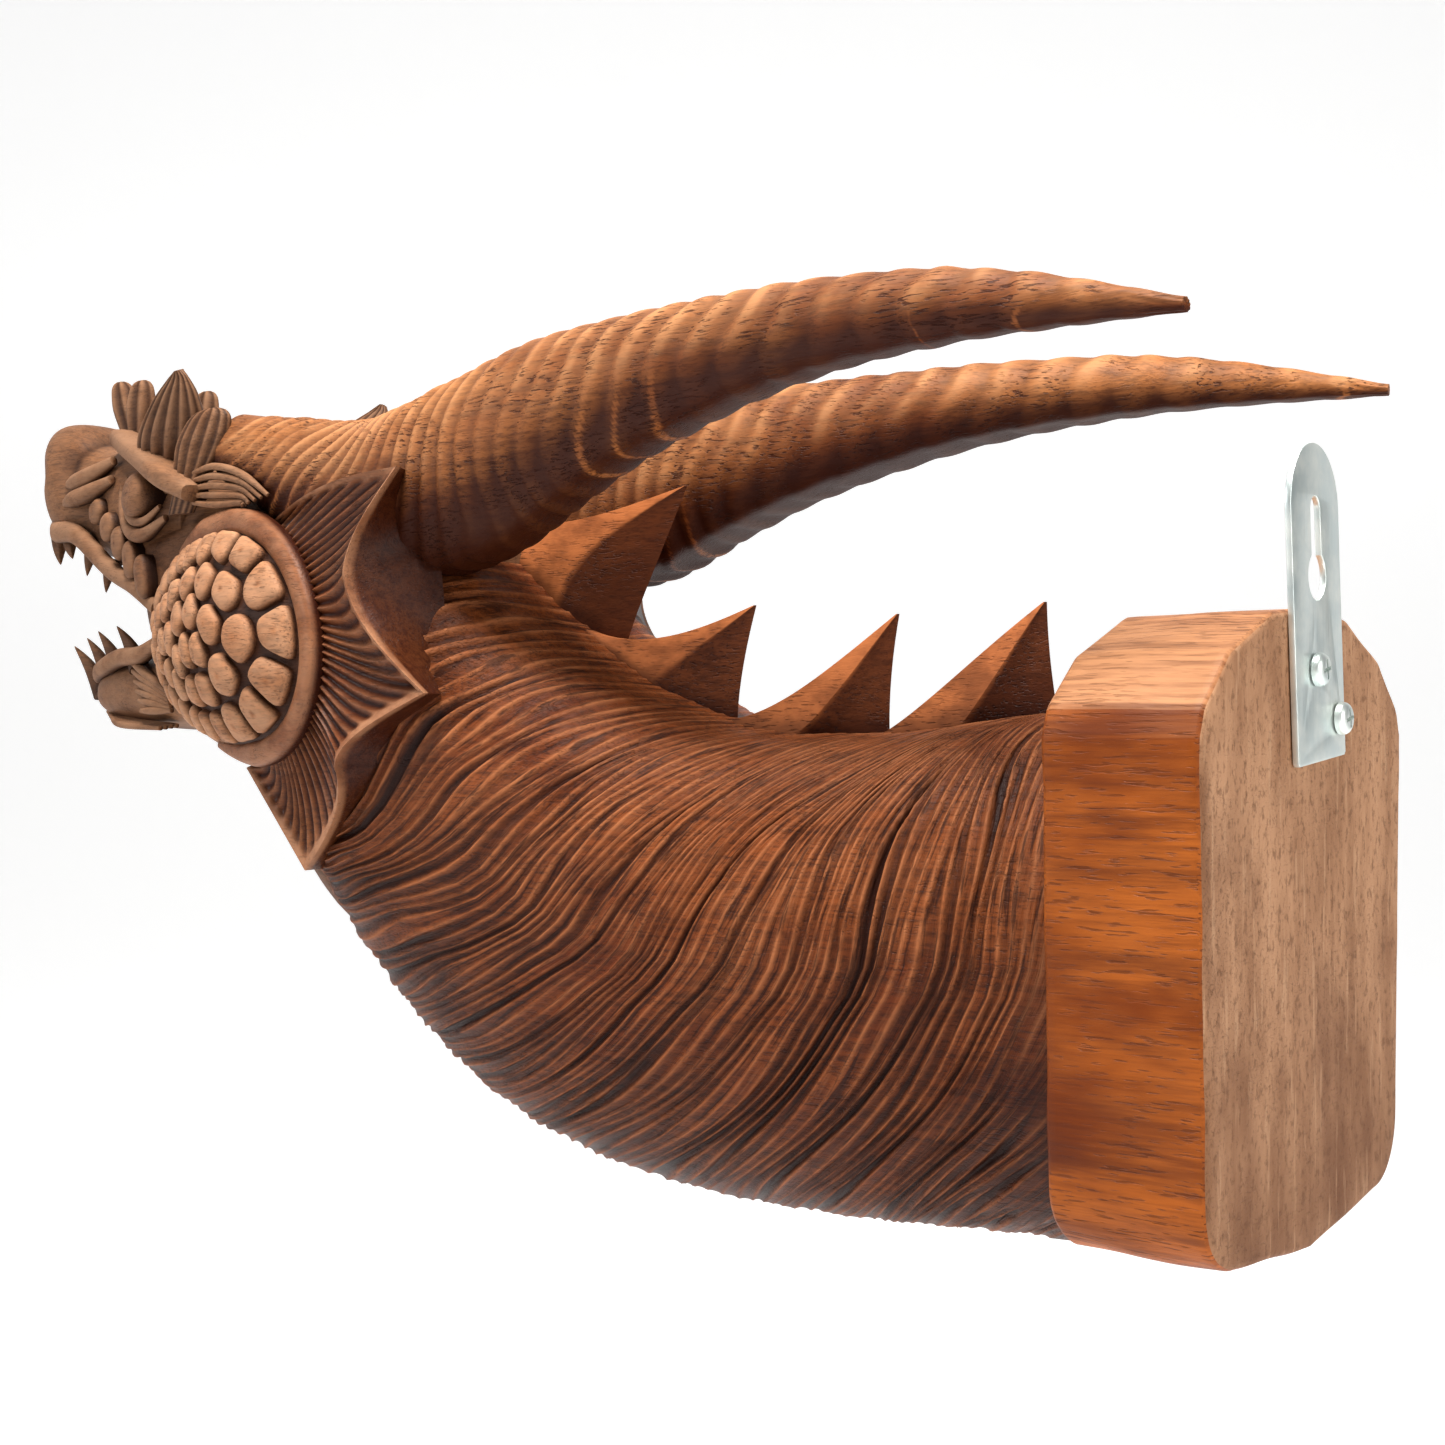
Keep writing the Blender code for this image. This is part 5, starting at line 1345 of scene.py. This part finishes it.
def add_ridge(block, side, spots, sizes, power, rows=48, sides=18):
    """A tapering ridge through a few points."""
    keys = np.linspace(0, 1, len(spots))
    table = [(key,) + tuple(spot) + tuple(size) for key, spot, size in zip(keys, spots, sizes)]
    values = read_table(table, np.linspace(0, 1, rows))
    path = placed(values[:, 0], values[:, 1] * side, values[:, 2])
    sideways, upward = path_axes(path)
    wide, up = boxy(2 * np.pi * np.arange(sides) / sides, power)
    points = path[:, None, :] + sideways[:, None, :] * (values[:, 3:4] * wide)[..., None]
    points = points + upward[:, None, :] * (values[:, 4:5] * up)[..., None]
    # painted shade: each ridge is painted dark on its inner and lower sides and left light on its
    # outer top, which gets wear and a painted highlight
    outside = side * np.sign(sideways[:, 0:1]) * wide[None, :]
    shade = np.clip(0.75 - 1.5 * (0.6 * outside + 0.7 * np.maximum(up, 0)[None, :]), 0, 1)
    block.grid(points, shade, 0.75 * (1 - shade))


LIP_FIRST = np.array((423.0, 26.0, 121.0, 8.5, 11.0))
LIP_LAST = np.array((382.0, 37.0, 95.5, 16.0, 8.0))
EYEBALL = (387.0, 33.0, 123.0)


def make_face(name, side):
    block = Carving()
    for spots, sizes, power in RIDGES:
        add_ridge(block, side, spots, sizes, power)
    centre = placed(EYEBALL[0], EYEBALL[1] * side, EYEBALL[2])
    add_pebble(block, centre, (side, -0.35, 0.1), (0, -1, 0), 21, 16, 7, 32, 1.0, 0.3)
    for share in np.linspace(0, 1, 5):
        far, out, height, tall, broad = LIP_FIRST + (LIP_LAST - LIP_FIRST) * share
        centre = placed(far, out * side, height)
        add_pebble(block, centre, (side, -0.25, 0), (0, -0.35, 1), tall, broad, 3.2)
    return as_wood(block, name, HEAD_WOOD, 60)


make_face("left_face_ridges", 1)
make_face("right_face_ridges", -1)

# %% [markdown]
# ## The crest
# Above the brow stand leaves of mane: two short ribbed lobes, one tall flame and one broad fan in
# front of the horn. A leaf is a lens-shaped section that widens and narrows on the way up, with
# ribs that run from root to tip.

# %% Crest leaves
FAN = ((-0.3, 0.5), (0.0, 0.6), (0.55, 1.0), (0.85, 0.85), (0.96, 0.6), (1.0, 0.3))
FLAME = ((-0.3, 0.8), (0.0, 0.9), (0.35, 1.0), (0.7, 0.68), (0.92, 0.3), (1.0, 0.08))
LEAVES = (
    ((427, 9, 146), (434, 10, 170), 14, 7, 0, FAN, 3),
    ((419, 13, 144), (416, 14, 168), 15, 7, 0, FAN, 3),
    ((374, 33, 133), (355, 44, 160.5), 33, 11, 4, FLAME, 7),
    ((354, 41, 122), (341, 41.5, 147), 24, 8, 0, FAN, 6),
)


def add_leaf(block, side, root, tip, width, thick, sweep, outline, ribs):
    start = placed(root[0], root[1] * side, root[2])
    rise = placed(tip[0], tip[1] * side, tip[2]) - start
    along = np.array([0.0, -1.0, 0.0])
    out = unit(np.cross(along, rise))
    turn = 2 * np.pi * np.arange(72) / 72
    across = np.cos(turn)
    face = np.sin(turn)
    channel = 0.5 - 0.5 * np.cos(2 * np.pi * ribs * (np.arccos(np.clip(across, -1, 1)) / np.pi))
    rows = []
    shades = []
    for share in np.linspace(-0.3, 1, 44):
        wide = read_table(outline, share)[0]
        centre = start + rise * share + along * sweep * share * (1 - share)
        carved = 1 - 0.3 * channel * min(1, max(0, share + 0.1) * 4)
        thin = thick / 2 * max(wide, 0.3) * (np.abs(face) ** 0.8) * np.sign(face) * carved
        rows.append(centre + along * (across * width / 2 * wide)[:, None] + out * thin[:, None])
        # stain and painted shade in the rib grooves, and painted shade at the leaf's root
        shades.append(np.clip(channel * 0.75 + 0.4 * max(0, 0.1 - share), 0, 1))
    shades = np.array(shades)
    block.grid(np.array(rows), shades, 0.8 * (1 - shades))


def make_crest(name, side):
    block = Carving()
    for leaf in LEAVES:
        add_leaf(block, side, *leaf)
    return as_wood(block, name, HEAD_WOOD, 55)


make_crest("left_crest_leaves", 1)
make_crest("right_crest_leaves", -1)

# %% [markdown]
# ## Teeth
# The teeth are short curved points cut from the lips: on each side of the upper lip a forked fang
# and two more, and on the lower jaw four that lean forward.

# %% Teeth
TEETH = (
    ((466, 13, 118), (461.5, 16.5, 105), 4.6),
    ((457, 15, 117), (451, 18.5, 106.5), 4.2),
    ((436, 19, 112), (438.5, 21, 99.5), 4.0),
    ((417, 24.5, 104), (420, 26, 92.5), 3.8),
    ((442, 12, 58), (458, 13, 75), 4.2),
    ((432, 16, 62), (445, 16.5, 77.5), 4.0),
    ((420, 20, 64), (432.5, 20.5, 79.5), 4.0),
    ((401, 26, 66), (413, 26.5, 80.5), 4.0),
)


def make_teeth(name, side):
    block = Carving()
    turn = 2 * np.pi * np.arange(20) / 20
    for root, tip, radius in TEETH:
        start = placed(root[0], root[1] * side, root[2])
        rise = placed(tip[0], tip[1] * side, tip[2]) - start
        first = unit(np.cross(rise, (side, 0.0, 0.0)))
        second = unit(np.cross(rise, first))
        rows = []
        for share in np.linspace(0, 1, 16):
            size = radius * ((1 - share) ** 0.85 * 0.96 + 0.04)
            bow = first * 1.1 * math.sin(math.pi * share)
            wide, up = boxy(turn, 0.8)
            flat = first * (wide * size)[:, None] + second * (up * size * 0.75)[:, None]
            rows.append(start + rise * share + bow + flat)
        # painted shade: each tooth is painted darker towards its root
        block.grid(np.array(rows), np.linspace(0.8, 0.1, 16)[:, None], 0.3)
    return as_wood(block, name, HEAD_WOOD, 60)


make_teeth("left_teeth", 1)
make_teeth("right_teeth", -1)

# %% [markdown]
# ## The hanger
# A strap of sheet steel hangs the carving from one screw in the wall, through a keyhole: the round
# part goes over the screw's head, the slot holds its shank. A flat filled curve with a tiny bevel
# is the quickest way to a stamped sheet with its softly broken edges.

# %% Hanger
HANGER_LENGTH = 72.0
HANGER_HALF = 15.0
HANGER_THICK = 1.5
HANGER_TOP = 110.0
HANGER_SIDE = 4.2
HANGER_LEAN = math.radians(5.0)
KEYHOLE = (30.0, 5.5)
SLOT = (15.0, 3.0)
SCREWS = (("upper", 3.2, 51.0), ("lower", -10.6, 63.2))
SCREW_HOLE = 2.1
BROKEN_EDGE = 0.22
GAP = 0.3
WELD = 0.005 * MM


def plate_spot(across, drop):
    """A place on the leaning strap, as side and height."""
    side = HANGER_SIDE + across * math.cos(HANGER_LEAN) - drop * math.sin(HANGER_LEAN)
    height = HANGER_TOP - drop * math.cos(HANGER_LEAN) - across * math.sin(HANGER_LEAN)
    return side, height


def bow(across, drop, radius, first, last, steps):
    """Points round a circle on the strap."""
    turns = [math.radians(first + (last - first) * k / steps) for k in range(steps + 1)]
    return [(across + radius * math.sin(t), drop - radius * math.cos(t)) for t in turns]


def make_hanger():
    ease = BROKEN_EDGE
    half = HANGER_HALF - ease
    foot = HANGER_LENGTH - ease
    outline = bow(0, HANGER_HALF, half, -90, 90, 48) + [(half, foot - 0.6), (half - 0.6, foot)]
    outline += [(-half + 0.6, foot), (-half, foot - 0.6)]
    big = KEYHOLE[1] + ease
    slot = SLOT[1] + ease
    corner = math.degrees(math.asin(slot / big))
    keyhole = bow(0, KEYHOLE[0], big, corner, 360 - corner, 48)
    keyhole += bow(0, SLOT[0], slot, -90, 90, 24)
    loops = [outline, keyhole]
    for _, across, drop in SCREWS:
        loops.append(bow(across, drop, SCREW_HOLE + ease, 0, 360, 32)[:-1])
    curve = bpy.data.curves.new("hanger strap", "CURVE")
    curve.dimensions = "2D"
    curve.fill_mode = "BOTH"
    curve.extrude = (HANGER_THICK / 2 - ease) * MM
    curve.bevel_depth = ease * MM
    curve.bevel_resolution = 2
    for loop in loops:
        line = curve.splines.new("POLY")
        line.points.add(len(loop) - 1)
        for spot, (across, drop) in zip(line.points, loop):
            side, height = plate_spot(across, drop)
            spot.co = (side * MM, height * MM, 0, 1)
        line.use_cyclic_u = True
    drawn = bpy.data.objects.new("strap drawing", curve)
    bpy.context.scene.collection.objects.link(drawn)
    drawn.rotation_euler = (math.pi / 2, 0, 0)
    drawn.location = (0, (GAP + HANGER_THICK / 2) * MM, 0)
    bpy.context.view_layer.update()
    graph = bpy.context.evaluated_depsgraph_get()
    mesh = bpy.data.meshes.new_from_object(drawn.evaluated_get(graph))
    mesh.transform(drawn.matrix_world)
    bpy.data.objects.remove(drawn, do_unlink=True)
    bm = bmesh.new()
    bm.from_mesh(mesh)
    bmesh.ops.remove_doubles(bm, verts=bm.verts, dist=WELD)
    bmesh.ops.recalc_face_normals(bm, faces=bm.faces)
    bm.to_mesh(mesh)
    bm.free()
    mesh.shade_smooth()
    mesh.set_sharp_from_angle(angle=math.radians(30))
    strap = bpy.data.objects.new("hanger_strap", mesh)
    bpy.context.scene.collection.objects.link(strap)
    mesh.materials.clear()
    mesh.materials.append(ZINC)
    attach(strap, "root")
    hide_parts("hanger_plate")
    print("hanger strap", len(mesh.polygons), "faces")


make_hanger()

# %% [markdown]
# ## The screws
# Two pan-head screws hold the strap. A turned profile makes each, and two crossed bars are cut
# out of the head for the driver.

# %% Screws
HEAD = 3.8
HEAD_TALL = 2.6
SHANK = 1.8
SCREW_LONG = 14.0
SCREW_POINT = 4.0
DRIVER_BAR = (4.6, 2.6, 0.9)
DRIVER_TURNS = (12, 102)


def make_screw(which, across, drop):
    side, height = plate_spot(across, drop)
    seat = 2 * GAP + HANGER_THICK
    profile = [(0.0, seat + HEAD_TALL)]
    for k in range(9):
        turn = math.pi / 2 * k / 8
        profile.append((
            HEAD * 0.5 + HEAD * 0.5 * math.sin(turn),
            seat + HEAD_TALL * 0.35 + HEAD_TALL * 0.65 * math.cos(turn),
        ))
    profile += [(HEAD, seat + 0.15), (HEAD - 0.15, seat), (SHANK, seat),
                (SHANK, seat - SCREW_LONG + SCREW_POINT), (0.0, seat - SCREW_LONG)]
    bm = bmesh.new()
    line = [bm.verts.new(Vector((side + r, y, height)) * MM) for r, y in profile]
    edges = [bm.edges.new(pair) for pair in zip(line, line[1:])]
    bmesh.ops.spin(bm, geom=line + edges, cent=Vector((side, 0, height)) * MM, axis=(0, 1, 0),
                   angle=2 * math.pi, steps=40, use_duplicate=False)
    bmesh.ops.remove_doubles(bm, verts=bm.verts, dist=WELD)
    bmesh.ops.recalc_face_normals(bm, faces=bm.faces)
    mesh = bpy.data.meshes.new("turned screw")
    bm.to_mesh(mesh)
    bm.free()
    screw = bpy.data.objects.new(f"hanger_{which}_screw", mesh)
    bpy.context.scene.collection.objects.link(screw)
    for turn in DRIVER_TURNS:
        bm = bmesh.new()
        bmesh.ops.create_cube(bm, size=1)
        size = Vector(DRIVER_BAR) * MM
        bm.transform(
            Matrix.Translation(Vector((side, seat + HEAD_TALL, height)) * MM)
            @ Matrix.Rotation(math.radians(turn), 4, "Y")
            @ Matrix.Diagonal(size.to_4d())
        )
        cutter_mesh = bpy.data.meshes.new("driver")
        bm.to_mesh(cutter_mesh)
        bm.free()
        cutter = bpy.data.objects.new("driver", cutter_mesh)
        bpy.context.scene.collection.objects.link(cutter)
        cut = screw.modifiers.new("driver slot", "BOOLEAN")
        cut.operation = "DIFFERENCE"
        cut.solver = "EXACT"
        cut.object = cutter
        bpy.context.view_layer.update()
        graph = bpy.context.evaluated_depsgraph_get()
        mesh = bpy.data.meshes.new_from_object(screw.evaluated_get(graph))
        screw.modifiers.clear()
        screw.data = mesh
        bpy.data.objects.remove(cutter, do_unlink=True)
    mesh.shade_smooth()
    mesh.set_sharp_from_angle(angle=math.radians(30))
    mesh.materials.clear()
    mesh.materials.append(ZINC)
    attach(screw, "root")
    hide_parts(f"hanger_screw_{which}")
    print("screw", which, len(mesh.polygons), "faces")


for screw in SCREWS:
    make_screw(*screw)
